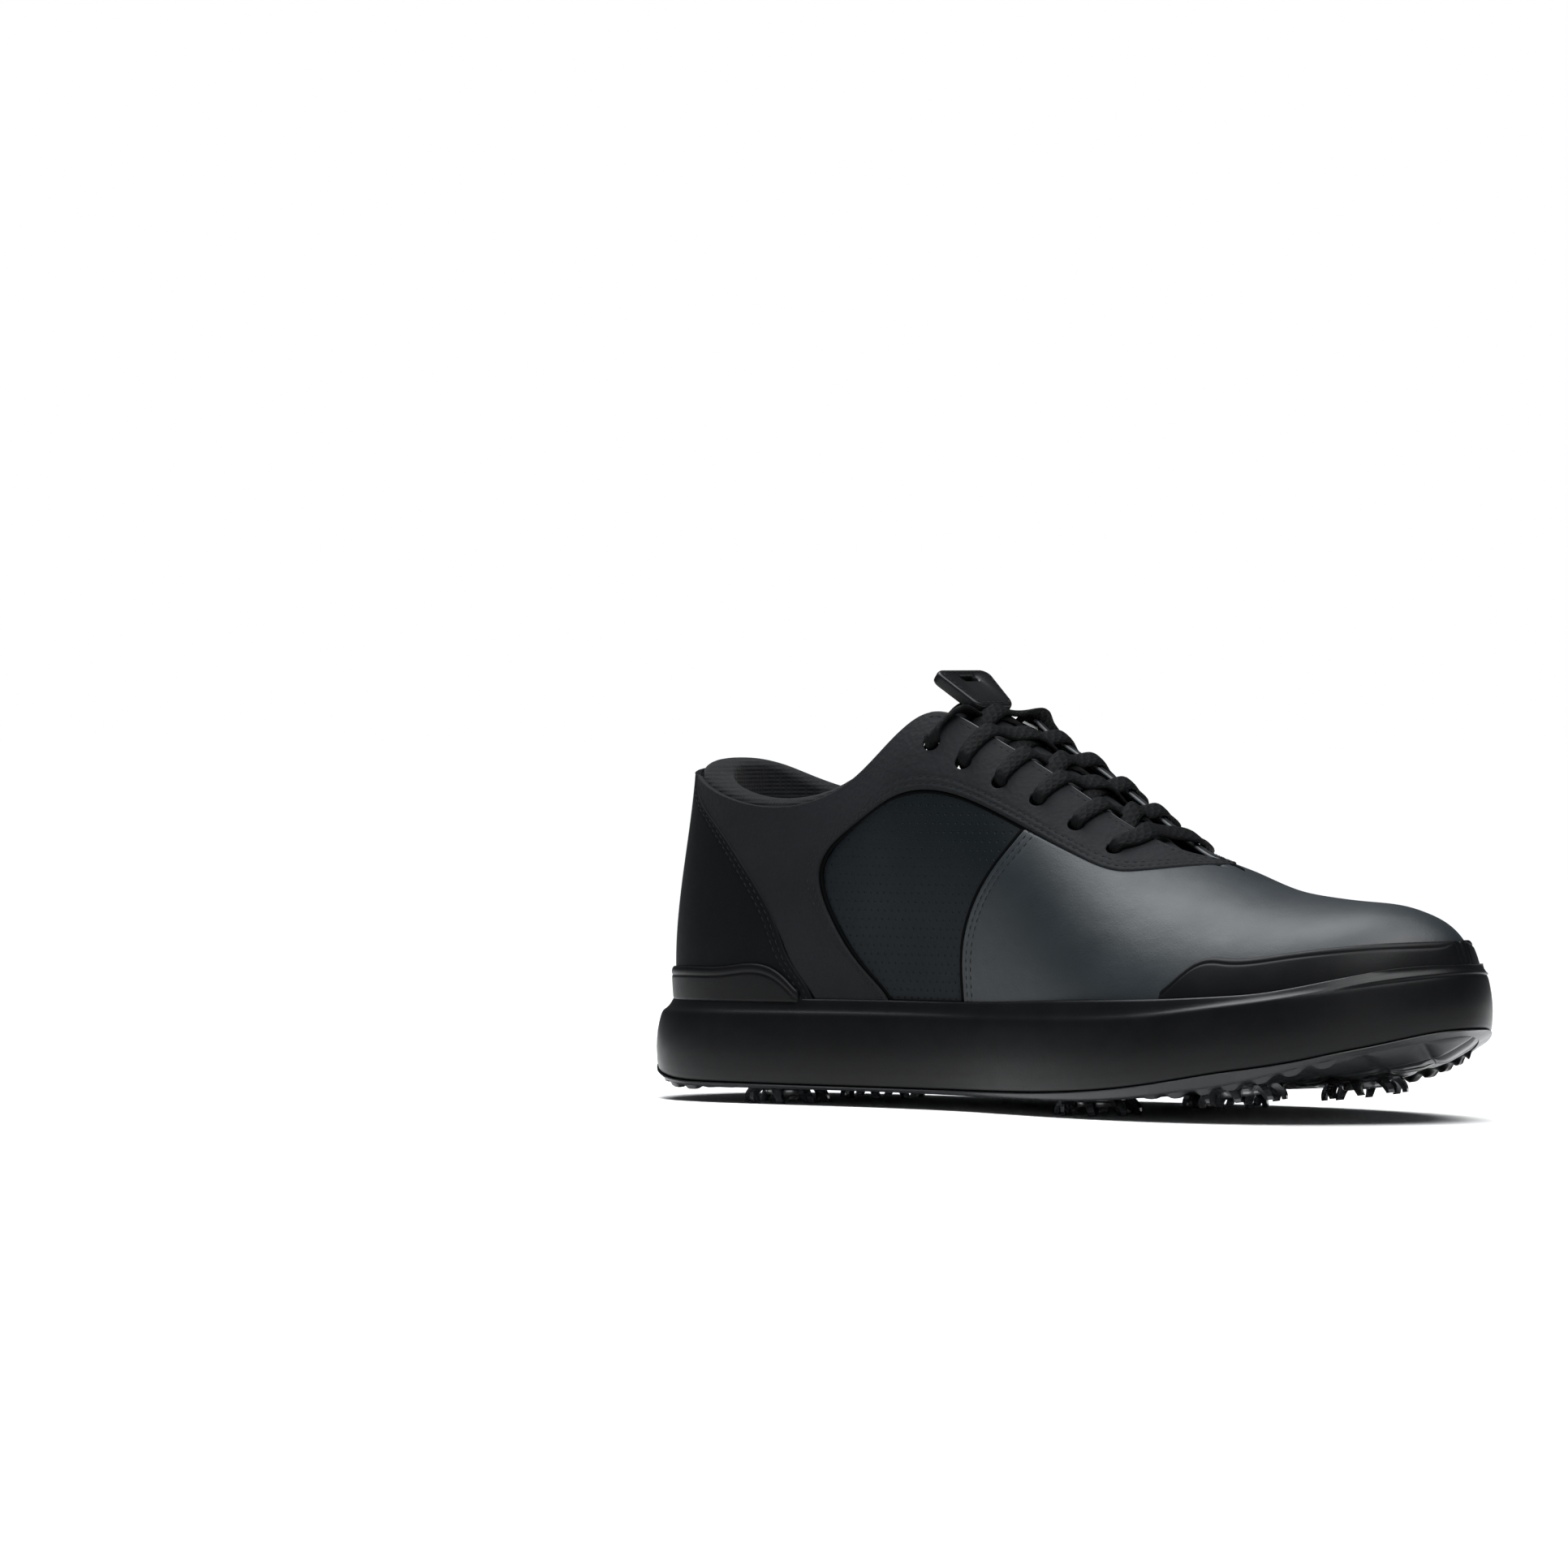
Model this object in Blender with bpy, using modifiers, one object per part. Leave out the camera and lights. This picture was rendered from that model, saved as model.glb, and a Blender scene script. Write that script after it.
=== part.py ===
"""A left golf shoe with six soft spikes, as an assembly of separate solids, at its real size.

Lengths in the tables are millimetres: x from the back of the heel to the toe, y to the outer side of
the foot, z up from the ground. Solids are made in metres, with the origin on the ground under the
middle of the shoe.
"""
import math

import bmesh
import bpy
import numpy as np
from mathutils import Matrix, Vector

for thing in list(bpy.data.objects):
    bpy.data.objects.remove(thing, do_unlink=True)

MM = 0.001
WELD = 0.01
RING_STATIONS = 24
NEAR = 1e-6
MEDIAL, LATERAL = -1, 1

# ---------------------------------------------------------------- driving dimensions
LENGTH = 305.5
WIDTH_CENTRE = -1.3
LEATHER = 1.5
SECOND_DEPTH, SECOND_THICK = 2.4, 0.8
LINING_DEPTH, LINING_THICK = 3.9, 0.9
FOAM_DEPTH, FOAM_THICK = 2.5, 3.1
COLLAR_DEPTH = 6.2
BOARD_LOW, BOARD_HIGH, BOARD_INSET = 0.35, 2.2, 5.6
SOCKLINER_LOW, SOCKLINER_HIGH, SOCKLINER_INSET = 2.6, 6.8, 6.0
SHANK_OUTLINE = [(66, -9), (168, -9), (168, 9), (66, 9)]
SHANK_LOW, SHANK_HIGH, SHANK_CLEARANCE = -2.3, -0.3, 0.4
GUARD_PROUD, GUARD_THICK = 2.8, 2.2
FOXING_PROUD, FOXING_THICK = 2.3, 2.0
OUTLINE = [
    (0, 0), (4, -17), (14, -30), (31, -37.5), (56, -39), (84, -36.5), (110, -35.5), (138, -38.5),
    (164, -46), (190, -53), (216, -56.5), (244, -55.5), (268, -50), (287, -39.5), (300, -25),
    (305.5, -9), (301.5, 6), (290, 19.5), (269, 33), (245, 44), (218, 51.5), (192, 54),
    (164, 52.5), (135, 49), (104, 45.5), (70, 43), (40, 39.5), (17, 31.5), (4, 18),
]


def spline(table):
    """A natural cubic spline through (x, value) rows."""
    xs, ys = (np.array(column, float) for column in zip(*table))
    gaps = np.diff(xs)
    count = len(xs)
    matrix = np.eye(count)
    right = np.zeros(count)
    for i in range(1, count - 1):
        matrix[i, i - 1:i + 2] = gaps[i - 1], 2 * (gaps[i - 1] + gaps[i]), gaps[i]
        right[i] = 6 * ((ys[i + 1] - ys[i]) / gaps[i] - (ys[i] - ys[i - 1]) / gaps[i - 1])
    bend = np.linalg.solve(matrix, right)

    def read(x):
        x = np.clip(np.asarray(x, float), xs[0], xs[-1])
        i = np.clip(np.searchsorted(xs, x) - 1, 0, count - 2)
        after, before, gap = xs[i + 1] - x, x - xs[i], gaps[i]
        return ((bend[i] * after**3 + bend[i + 1] * before**3) / (6 * gap)
                + (ys[i] / gap - bend[i] * gap / 6) * after
                + (ys[i + 1] / gap - bend[i + 1] * gap / 6) * before)

    return read


def smooth(x, start, end):
    t = np.clip((np.asarray(x, float) - start) / (end - start), 0, 1)
    return t * t * (3 - 2 * t)


class Loop:
    """A closed outline seen from above, read on either side by its distance x from the heel."""

    def __init__(self, points):
        points = np.asarray(points, float)
        tangent = np.roll(points, -1, 0) - np.roll(points, 1, 0)
        tangent /= np.linalg.norm(tangent, axis=1)[:, None]
        normal = np.c_[tangent[:, 1], -tangent[:, 0]]
        rows = np.c_[points, normal]
        heel, toe = points[:, 0].argmin(), points[:, 0].argmax()
        rows = np.roll(rows, -heel, 0)
        toe = (toe - heel) % len(rows)
        back = np.vstack([rows[toe:], rows[:1]])[::-1]
        self.sides = {MEDIAL: rows[:toe + 1], LATERAL: back}
        self.heel, self.toe = rows[0, 0], rows[toe, 0]
        self.toe_y = rows[toe, 1]

    def at(self, x, side):
        """Points (x, y) and outward normals there."""
        rows = self.sides[side]
        x = np.asarray(x, float)
        read = [np.interp(x, rows[:, 0], rows[:, k]) for k in (1, 2, 3)]
        normal = np.stack(read[1:], -1)
        normal /= np.linalg.norm(normal, axis=-1)[..., None]
        return np.stack([x, read[0]], -1), normal

    def stations(self, count):
        """Distances from the heel, closer together at the two ends."""
        turn = np.linspace(0, np.pi, count)
        return self.heel + (self.toe - self.heel) * (1 - np.cos(turn)) / 2


def closed_curve(points, count=4000):
    points = np.array(points, float)
    around = np.vstack([points[-6:], points, points[:7]])
    along = np.r_[0, np.cumsum(np.linalg.norm(np.diff(around, axis=0), axis=1))]
    place = np.linspace(along[6], along[6 + len(points)], count, endpoint=False)
    return np.stack([spline(zip(along, around[:, k]))(place) for k in (0, 1)], -1)


def inset(points, depth):
    tangent = np.roll(points, -1, 0) - np.roll(points, 1, 0)
    tangent /= np.linalg.norm(tangent, axis=1)[:, None]
    return points - np.c_[tangent[:, 1], -tangent[:, 0]] * np.asarray(depth)[..., None]


SOLE_CURVE = closed_curve(OUTLINE)
SOLE = Loop(SOLE_CURVE)

# ---------------------------------------------------------------- heights along the shoe
BOTTOM_Z = spline([(0, 12.6), (4, 10), (9, 7.6), (17, 5.5), (28, 4.7), (60, 4.6), (120, 4.6), (178, 4.8),
                   (200, 5.6), (220, 7.4), (240, 10), (260, 12.6), (280, 15.8), (290, 18), (298, 20.4),
                   (305.5, 24.6)])
PART_Z = spline([(0, 14.6), (8, 10.4), (20, 7.2), (40, 6.2), (90, 6), (137, 6.2), (187, 7.7), (211, 9.7),
                 (229, 12.2), (243, 14.5), (260, 17), (270, 18.9), (279, 21.2), (288, 23.6), (296, 26.2),
                 (301, 27.4), (305.5, 27.6)])
WALL_Z = spline([(0, 31), (64, 31.5), (102, 31.8), (139, 32.1), (182, 33.8), (224, 35.4), (241, 36.4),
                 (258, 38), (276, 41.8), (288, 44.6), (296, 45.7), (305.5, 45.8)])
FLOOR_Z = spline([(0, 24.5), (60, 23.5), (120, 21), (180, 18), (215, 17.2), (250, 19.6), (280, 24.5),
                  (305.5, 29.5)])
FEATHER_INSET = spline([(0, 8.6), (20, 7.6), (60, 6.2), (140, 6), (220, 6.2), (280, 6.4), (305.5, 6.6)])
FEATHER = Loop(inset(SOLE_CURVE, FEATHER_INSET(SOLE_CURVE[:, 0])))

TOP_Z = spline([(8.6, 100), (16, 98.5), (30, 94), (45, 90), (60, 88.5), (75, 91), (88, 97.5), (98, 106),
                (106, 113), (112, 116.6), (118, 116.6), (125, 113.6), (133, 109.3), (144, 103.8),
                (156, 97.2), (171, 88.5), (181, 83), (191, 78.6), (198, 76.4), (207, 74.4), (214, 72.2),
                (221, 69.8), (233, 66.6), (246, 64.6), (258, 63.3), (270, 62.6), (276, 62), (282, 60.8),
                (288, 58.8), (293, 55.4), (296.5, 50.4), (298.9, 43)])
OPENING_Y = spline([(60, 30), (80, 28.5), (96, 26.5), (108, 24), (118, 20), (126, 17.8), (133, 17), (144, 16),
                    (156, 14.7), (171, 13), (181, 11.6), (191, 8.6), (198, 4.8), (204, 1.6), (209, 0.3),
                    (214, 0), (300, 0)])
RIDGE_Y = spline([(60, 1.5), (120, 0.5), (204, 0), (220, -1.8), (240, -4.6), (260, -7.6), (276, -9.4),
                  (288, -9.8), (298.9, FEATHER.toe_y)])
COLLAR_LEAN = spline([(8.6, 5.6), (20, 4.4), (40, 3.4), (70, 3), (90, 4)])
TOP_SLOPE = spline([(8.6, 86), (40, 84), (75, 78), (95, 66), (108, 52), (118, 42), (133, 35), (156, 31),
                    (181, 26), (195, 17), (205, 8), (214, 1), (222, 0), (299, 0)])
LOW_REACH = spline([(8.6, 0.36), (80, 0.4), (120, 0.46), (165, 0.5), (215, 0.56), (270, 0.62), (299, 0.62)])
HIGH_REACH = spline([(8.6, 0.34), (80, 0.38), (120, 0.42), (165, 0.46), (215, 0.5), (270, 0.56),
                     (299, 0.56)])
LOW_FLARE = spline([(8.6, 9), (60, 5), (120, 4), (165, 6), (215, 5), (270, 3), (299, 1)])


def upper(x, w, side):
    """The outer face of the upper: x along the feather line, w from 0 there to 1 at the top line."""
    x, w = np.broadcast_arrays(np.asarray(x, float), np.asarray(w, float))
    foot, normal = FEATHER.at(x, side)
    straight = smooth(x, 25, 75)[..., None]
    out = normal * (1 - straight) + np.array([0, side]) * straight
    out /= np.linalg.norm(out, axis=-1)[..., None]
    reach_mid = side * (foot[..., 1] - RIDGE_Y(x)) - OPENING_Y(x)
    share = smooth(x, 48, 92)
    across = COLLAR_LEAN(x) * (1 - share) + reach_mid * share
    out = np.concatenate([out, np.zeros(out.shape[:-1] + (1,))], -1)
    up = np.array([0, 0, 1.0])
    start = np.concatenate([foot, FLOOR_Z(x)[..., None]], -1)
    rise = (TOP_Z(x) - FLOOR_Z(x))[..., None]
    across = across[..., None]
    end = start - out * across + up * rise
    flare = np.radians(LOW_FLARE(x))[..., None]
    slope = np.radians(TOP_SLOPE(x))[..., None]
    low = start + LOW_REACH(x)[..., None] * rise * (up * np.cos(flare) + out * np.sin(flare))
    high = end + HIGH_REACH(x)[..., None] * (across * np.cos(slope) + rise * np.sin(slope)) * (
        out * np.cos(slope) - up * np.sin(slope))
    t = w[..., None]
    return (1 - t)**3 * start + 3 * (1 - t)**2 * t * low + 3 * (1 - t) * t**2 * high + t**3 * end


def height_on(x, z, side):
    """The share w of the rib at x where the upper reaches the height z."""
    x, z = np.broadcast_arrays(np.asarray(x, float), np.asarray(z, float))
    steps = np.linspace(0, 1, 200)
    found = [np.interp(b, upper(np.full(200, a), steps, side)[:, 2], steps) for a, b in zip(x.flat, z.flat)]
    return np.array(found).reshape(x.shape)


def face_normal(x, w, side):
    """The outward unit normal of the upper."""
    step_x, step_w = 0.05, 0.002
    low, high = FEATHER.heel + 1e-4, FEATHER.toe - 1e-4
    x = np.clip(x, low, high)
    ahead, behind = np.clip(x + step_x, low, high), np.clip(x - step_x, low, high)
    along = upper(ahead, w, side) - upper(behind, w, side)
    rise = upper(x, np.clip(w + step_w, 0, 1), side) - upper(x, np.clip(w - step_w, 0, 1), side)
    normal = np.cross(rise, along) * side
    return normal / np.linalg.norm(normal, axis=-1)[..., None]


def skin(x, w, side, depth):
    """A point under the outer face of the upper; a negative depth stands proud of it."""
    x, w, depth = np.broadcast_arrays(*(np.asarray(value, float) for value in (x, w, depth)))
    return upper(x, w, side) - face_normal(x, w, side) * depth[..., None]


# ---------------------------------------------------------------- making objects
PARTS = bpy.data.collections.new("golf_shoe")
CUTTERS = bpy.data.collections.new("cutters")
for collection in (PARTS, CUTTERS):
    bpy.context.scene.collection.children.link(collection)
CENTRE = np.array([LENGTH / 2, WIDTH_CENTRE, 0])


def place(points):
    """Table coordinates in millimetres, moved into the shoe's own frame in metres."""
    return (np.asarray(points, float) - CENTRE) * MM


def material(name, colour, roughness, metallic=0.0):
    made = bpy.data.materials.new(name)
    made.use_nodes = True
    shader = made.node_tree.nodes["Principled BSDF"]
    shader.inputs["Base Color"].default_value = (*colour, 1)
    shader.inputs["Roughness"].default_value = roughness
    shader.inputs["Metallic"].default_value = metallic
    return made


LOOKS = {
    "outsole": material("outsole_tpu", (0.045, 0.048, 0.052), 0.45),
    "midsole": material("midsole_eva", (0.016, 0.017, 0.019), 0.42),
    "guard": material("guard_rubber", (0.018, 0.018, 0.021), 0.5),
    "gloss": material("panel_gloss", (0.006, 0.007, 0.008), 0.12),
    "insert": material("insert_tpu", (0.06, 0.064, 0.07), 0.4),
    "tag": material("tag_blue", (0.11, 0.17, 0.23), 0.35),
    "shank": material("shank_nylon", (0.03, 0.03, 0.03), 0.4),
    "board": material("board_fibre", (0.5, 0.48, 0.42), 0.9),
    "sockliner": material("sockliner_foam", (0.03, 0.03, 0.032), 0.9),
    "leather": material("leather_black", (0.025, 0.03, 0.036), 0.38),
    "trim": material("leather_trim", (0.02, 0.021, 0.024), 0.55),
    "lining": material("lining_textile", (0.025, 0.025, 0.027), 0.95),
    "foam": material("padding_foam", (0.08, 0.08, 0.08), 0.95),
    "stiffener": material("stiffener_board", (0.2, 0.19, 0.17), 0.8),
    "lace": material("lace_woven", (0.012, 0.012, 0.013), 0.8),
    "aglet": material("aglet_plastic", (0.01, 0.01, 0.01), 0.25),
    "spike": material("spike_tpu", (0.06, 0.062, 0.065), 0.3),
    "core": material("spike_core", (0.35, 0.36, 0.37), 0.3, 0.6),
    "socket": material("socket_nylon", (0.03, 0.03, 0.03), 0.4),
    "cutter": material("cutter", (0.8, 0.1, 0.1), 0.5),
}


def add_object(name, mesh, look, collection=PARTS):
    made = bpy.data.objects.new(name, mesh)
    collection.objects.link(made)
    if not mesh.materials:
        mesh.materials.append(look)
    return made


def welded(name, points, faces, turn_outward=False):
    mesh = bpy.data.meshes.new(name)
    mesh.from_pydata([tuple(p) for p in points], [], faces)
    work = bmesh.new()
    work.from_mesh(mesh)
    bmesh.ops.remove_doubles(work, verts=work.verts, dist=WELD * MM)
    if turn_outward:
        bmesh.ops.recalc_face_normals(work, faces=work.faces)
    work.to_mesh(mesh)
    work.free()
    mesh.shade_smooth()
    return mesh


def sheet(name, grids, thickness, look):
    """A shell: grids of outer points, each with its side of the foot, thickened inward."""
    points, faces, start = [], [], 0
    for grid, side in grids:
        rows, columns = grid.shape[:2]
        for i in range(rows - 1):
            for j in range(columns - 1):
                a = start + i * columns + j
                face = (a, a + columns, a + columns + 1, a + 1)
                faces.append(face if side == MEDIAL else face[::-1])
        points.append(grid.reshape(-1, 3))
        start += rows * columns
    made = add_object(name, welded(name, place(np.concatenate(points)), faces), look)
    shell = made.modifiers.new("thickness", "SOLIDIFY")
    shell.thickness = thickness * MM
    shell.offset = -1
    return made


def loft(name, rings, look, across=4):
    """A closed solid from rings round the shoe, its first and last ring filled by strips across."""
    rings = [np.asarray(ring, float) for ring in rings]
    count = len(rings[0])
    faces = []
    for r in range(len(rings) - 1):
        for i in range(count):
            k = (i + 1) % count
            faces.append((r * count + i, r * count + k, (r + 1) * count + k, (r + 1) * count + i))
    points = list(np.concatenate(rings))
    half = count // 2
    for base, ring in ((0, rings[0]), ((len(rings) - 1) * count, rings[-1])):
        rows = []
        for i in range(half + 1):
            first, last = base + i, base + (count - i) % count
            if first == last:
                rows.append([first] * (across + 1))
                continue
            row = [first]
            for j in range(1, across):
                row.append(len(points))
                points.append(ring[first - base] + (ring[last - base] - ring[first - base]) * j / across)
            rows.append(row + [last])
        for near, far in zip(rows, rows[1:]):
            for j in range(across):
                corners = list(dict.fromkeys((near[j], near[j + 1], far[j + 1], far[j])))
                if len(corners) > 2:
                    faces.append(tuple(corners))
    return add_object(name, welded(name, place(points), faces, turn_outward=True), look)


def ring_round(loop, depth, height, count=RING_STATIONS):
    """Points round an outline, moved in by depth and lifted to height; both may depend on x."""
    stations = loop.stations(count)
    rows = []
    for side in (MEDIAL, LATERAL):
        foot, normal = loop.at(stations, side)
        foot = foot - normal * np.broadcast_to(depth(foot[:, 0]) if callable(depth) else depth,
                                               len(foot))[:, None]
        rows.append(np.c_[foot, height(foot[:, 0]) if callable(height) else np.full(len(foot), height)])
    return np.concatenate([rows[0], rows[1][-2:0:-1]])


def skin_ring(height, depth, count=RING_STATIONS):
    """Points round the upper at a height, under its outer face by depth."""
    stations = FEATHER.stations(count)
    rows = []
    for side in (MEDIAL, LATERAL):
        share = height_on(stations, height(stations), side)
        rows.append(skin(stations, share, side, depth))
    return np.concatenate([rows[0], rows[1][-2:0:-1]])


def prism(name, outline, low, high, look, collection=PARTS):
    """A flat outline made solid between two heights, which may depend on x."""
    outline = np.asarray(outline, float)
    count = len(outline)
    low = low(outline[:, 0]) if callable(low) else np.full(count, float(low))
    high = high(outline[:, 0]) if callable(high) else np.full(count, float(high))
    points = np.concatenate([np.c_[outline, low], np.c_[outline, high]])
    faces = [tuple(range(count)), tuple(range(count, 2 * count))]
    faces += [(i, (i + 1) % count, count + (i + 1) % count, count + i) for i in range(count)]
    return add_object(name, welded(name, place(points), faces, turn_outward=True), look, collection)


def rounded(corners, radius, steps=3):
    """A polygon with its corners rounded."""
    corners = np.asarray(corners, float)
    made = []
    for before, corner, after in zip(np.roll(corners, 1, 0), corners, np.roll(corners, -1, 0)):
        back, ahead = before - corner, after - corner
        start = corner + back / np.linalg.norm(back) * min(radius, np.linalg.norm(back) * 0.45)
        end = corner + ahead / np.linalg.norm(ahead) * min(radius, np.linalg.norm(ahead) * 0.45)
        for t in np.linspace(0, 1, steps + 1):
            made.append((1 - t)**2 * start + 2 * t * (1 - t) * corner + t * t * end)
    return np.array(made)


def grown(outline, distance):
    """The outline moved outward all round; its points run anticlockwise."""
    outline = np.asarray(outline, float)
    area = np.sum(outline[:, 0] * np.roll(outline[:, 1], -1) - np.roll(outline[:, 0], -1) * outline[:, 1])
    return inset(outline, np.full(len(outline), -distance if area > 0 else distance))


def cut(target, cutter):
    cutter.hide_render = True
    cutter.display_type = "WIRE"
    step = target.modifiers.new(cutter.name, "BOOLEAN")
    step.operation = "DIFFERENCE"
    step.solver = "EXACT"
    step.object = cutter


def cylinder(name, radius, low, high, frame, look=None, collection=CUTTERS, sides=24):
    """A cylinder along a frame's z axis; radius, low and high in millimetres."""
    work = bmesh.new()
    bmesh.ops.create_cone(work, cap_ends=True, segments=sides, radius1=radius * MM, radius2=radius * MM,
                          depth=(high - low) * MM)
    bmesh.ops.translate(work, verts=work.verts, vec=(0, 0, (high + low) / 2 * MM))
    mesh = bpy.data.meshes.new(name)
    work.to_mesh(mesh)
    work.free()
    made = add_object(name, mesh, look or LOOKS["cutter"], collection)
    made.matrix_world = frame
    return made


def turned(name, profile, look, steps=20):
    """A mesh turned about z from (radius, height) rows that run down the outer side."""
    mesh = bpy.data.meshes.new(name)
    points = [(r * MM, 0, z * MM) for r, z in profile]
    mesh.from_pydata(points, [(i, i + 1) for i in range(len(points) - 1)], [])
    made = add_object(name, mesh, look)
    screw = made.modifiers.new("turn", "SCREW")
    screw.steps = screw.render_steps = steps
    screw.use_merge_vertices = True
    screw.merge_threshold = 1e-5
    return made


# ---------------------------------------------------------------- seams of the upper, rows of (x, z)
FACING_SEAM = [(107, 21), (102.6, 33.3), (98, 37.9), (90.3, 45.7), (83.5, 55.3), (79, 63.9), (78, 69.4),
               (80.3, 75.2), (86.4, 80.6), (96.4, 86.6), (106, 91.3), (115.8, 94), (122.9, 94), (130, 92.6),
               (139.7, 89.4), (149.7, 85.4), (161.3, 80.2), (173, 75.1), (182, 71.8), (187.8, 70.8),
               (193.3, 71.2), (199.1, 72), (205.6, 72.7), (214, 72.6)]
VAMP_SEAM = [(134.6, 18), (133.9, 35.3), (134.2, 43.4), (136.5, 51.4), (141.3, 60.3), (147.1, 68.3),
             (152.6, 76.3), (155.3, 82.2)]
COUNTER_SEAM = [(79, 22), (74.8, 34.9), (68, 43.6), (64.1, 51.7), (59.6, 59.6), (55.1, 65.1),
                (51.5, 69.1), (44, 76.5), (34, 84.5), (25, 91), (18, 99)]
SEAM_GAP = 0.4


def curve_through(points):
    """A smooth curve through points of any dimension, read from 0 to 1 by its length."""
    points = np.asarray(points, float)
    along = np.r_[0, np.cumsum(np.linalg.norm(np.diff(points, axis=0), axis=1))]
    along /= along[-1]
    reads = [spline(list(zip(along, column))) for column in points.T]
    return lambda t: np.stack([read(t) for read in reads], -1)


def seam(points, shift, side, end_at=None):
    """A seam as (x, w), moved to its left by shift millimetres; end_at cuts it short at an x."""
    curve = curve_through(points)
    fine = np.linspace(0, 1, 160)
    line = curve(fine)
    tangent = np.gradient(line, axis=0)
    tangent /= np.linalg.norm(tangent, axis=1)[:, None]
    line = line + np.c_[-tangent[:, 1], tangent[:, 0]] * shift
    shares = height_on(line[:, 0], line[:, 1], side)
    rows = np.c_[line[:, 0], shares]
    if end_at is not None:
        rows = rows[:np.flatnonzero(line[:, 0] < end_at)[-1] + 1]
    return polyline(rows, line[:len(rows)])


def polyline(rows, measure=None):
    """Rows read from 0 to 1, by the length of measure."""
    measure = rows if measure is None else measure
    along = np.r_[0, np.cumsum(np.linalg.norm(np.diff(measure, axis=0), axis=1))]
    along /= along[-1]
    return lambda t: np.stack([np.interp(t, along, column) for column in np.asarray(rows).T], -1)


def patch(left, right, bottom, top, rows, columns):
    """A grid of (x, w) between four edges: left and right run upward, bottom and top run from left to right."""
    s = np.linspace(0, 1, rows)[:, None, None]
    t = np.linspace(0, 1, columns)[None, :, None]
    sides = (1 - s) * left(t[0, :, 0])[None] + s * right(t[0, :, 0])[None]
    ends = (1 - t) * bottom(s[:, 0, 0])[:, None] + t * top(s[:, 0, 0])[:, None]
    corners = ((1 - s) * (1 - t) * left(0.0) + s * (1 - t) * right(0.0)
               + (1 - s) * t * left(1.0) + s * t * right(1.0))
    return sides + ends - corners


def on_skin(grid, side, depth):
    return skin(grid[..., 0], np.clip(grid[..., 1], 0, 1), side, depth)


TOE, HEEL = FEATHER.toe, FEATHER.heel
RIDGE_GAP = 0.008
THROAT_FRONT = 207.0
SEAM_FRONT = 214.0
COLLAR_PEAK = 117.0
JOIN_X = VAMP_SEAM[-1][0]


def vamp_grid(side, rows=16, columns=7):
    facing = seam(FACING_SEAM, -SEAM_GAP, side)
    t_fine = np.linspace(0, 1, 300)
    join = t_fine[np.flatnonzero((facing(t_fine)[:, 0] > JOIN_X) & (t_fine > 0.5))[0]]
    half = 0.42
    foot_x = VAMP_SEAM[0][0] + SEAM_GAP

    def forward(s):
        turn = np.clip((s - half) / (1 - half), 0, 1)
        return SEAM_FRONT + (TOE - SEAM_FRONT) * np.sin(turn * np.pi / 2)

    def top(s):
        back = facing(join + (1 - join) * np.clip(s / half, 0, 1))
        ahead = np.stack([forward(s), np.ones_like(s)], -1)
        return np.where((s < half)[..., None], back, ahead)

    def bottom(s):
        x = np.where(s < half, foot_x + (SEAM_FRONT - foot_x) * s / half, forward(s))
        return np.stack([x, np.zeros_like(x)], -1)

    left = seam(VAMP_SEAM, -SEAM_GAP, side)
    right = polyline(np.array([(TOE, 0), (TOE, 1)]))
    return patch(left, right, bottom, top, rows, columns)


def quarter_grid(side, rows=8, columns=12):
    left = seam(FACING_SEAM, -SEAM_GAP, side, end_at=JOIN_X - 1)
    right = seam(VAMP_SEAM, SEAM_GAP, side, end_at=JOIN_X - 1.5)
    bottom = polyline(np.array([left(0.0), right(0.0)]))
    top = polyline(np.array([left(1.0), right(1.0)]))
    return patch(left, right, bottom, top, rows, columns)


def facing_grid(side, rows=26, columns=5):
    """A ribbon from the sole beside the heel counter, up to the collar and along the throat."""
    inner = seam(FACING_SEAM, SEAM_GAP, side)
    counter = seam(COUNTER_SEAM, -1.5 * SEAM_GAP, side)
    fine = np.linspace(0, 1, 400)
    back = fine[inner(fine)[:, 0].argmin()]
    peak = fine[np.flatnonzero(inner(fine)[:, 0] > COLLAR_PEAK)[0]]
    keys = [0, 0.26, 0.5, 1]
    collar_start = counter(1.0)[0]

    def inner_at(s):
        return inner(np.interp(s, keys, [0, back, peak, 1]))

    def outer_at(s):
        rise = counter(np.clip(s / keys[1], 0, 1))
        along = np.interp(s, keys[1:], [collar_start, 112, THROAT_FRONT])
        return np.where((s < keys[1])[..., None], rise, np.stack([along, np.ones_like(along)], -1))

    s = np.linspace(0, 1, rows)
    t = np.linspace(0, 1, columns)[None, :, None]
    grid = (1 - t) * inner_at(s)[:, None] + t * outer_at(s)[:, None]
    grid[..., 1] = np.minimum(grid[..., 1], 1 - RIDGE_GAP * smooth(grid[..., 0], 196, 206))
    return grid


def counter_grid(side, rows=9, columns=7):
    right = seam(COUNTER_SEAM, 2 * SEAM_GAP, side)
    left = polyline(np.array([(HEEL, 0), (HEEL, 1)]))

    def edge(end, w):
        return lambda s: np.stack([HEEL + (end - HEEL) * s**1.7, np.full_like(s, w)], -1)

    return patch(left, right, edge(right(0.0)[0], 0), edge(right(1.0)[0], 1), rows, columns)


def ribs(x, low, high, columns):
    """A grid of (x, w) over ribs at x, with low and high shares that may depend on x."""
    low = low(x) if callable(low) else np.full(len(x), float(low))
    high = high(x) if callable(high) else np.full(len(x), float(high))
    t = np.linspace(0, 1, columns)
    return np.stack([np.repeat(x[:, None], columns, 1), low[:, None] + (high - low)[:, None] * t], -1)


def band(start, end, low, high, rows, columns, power=1.0):
    return ribs(start + (end - start) * np.linspace(0, 1, rows)**power, low, high, columns)


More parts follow.
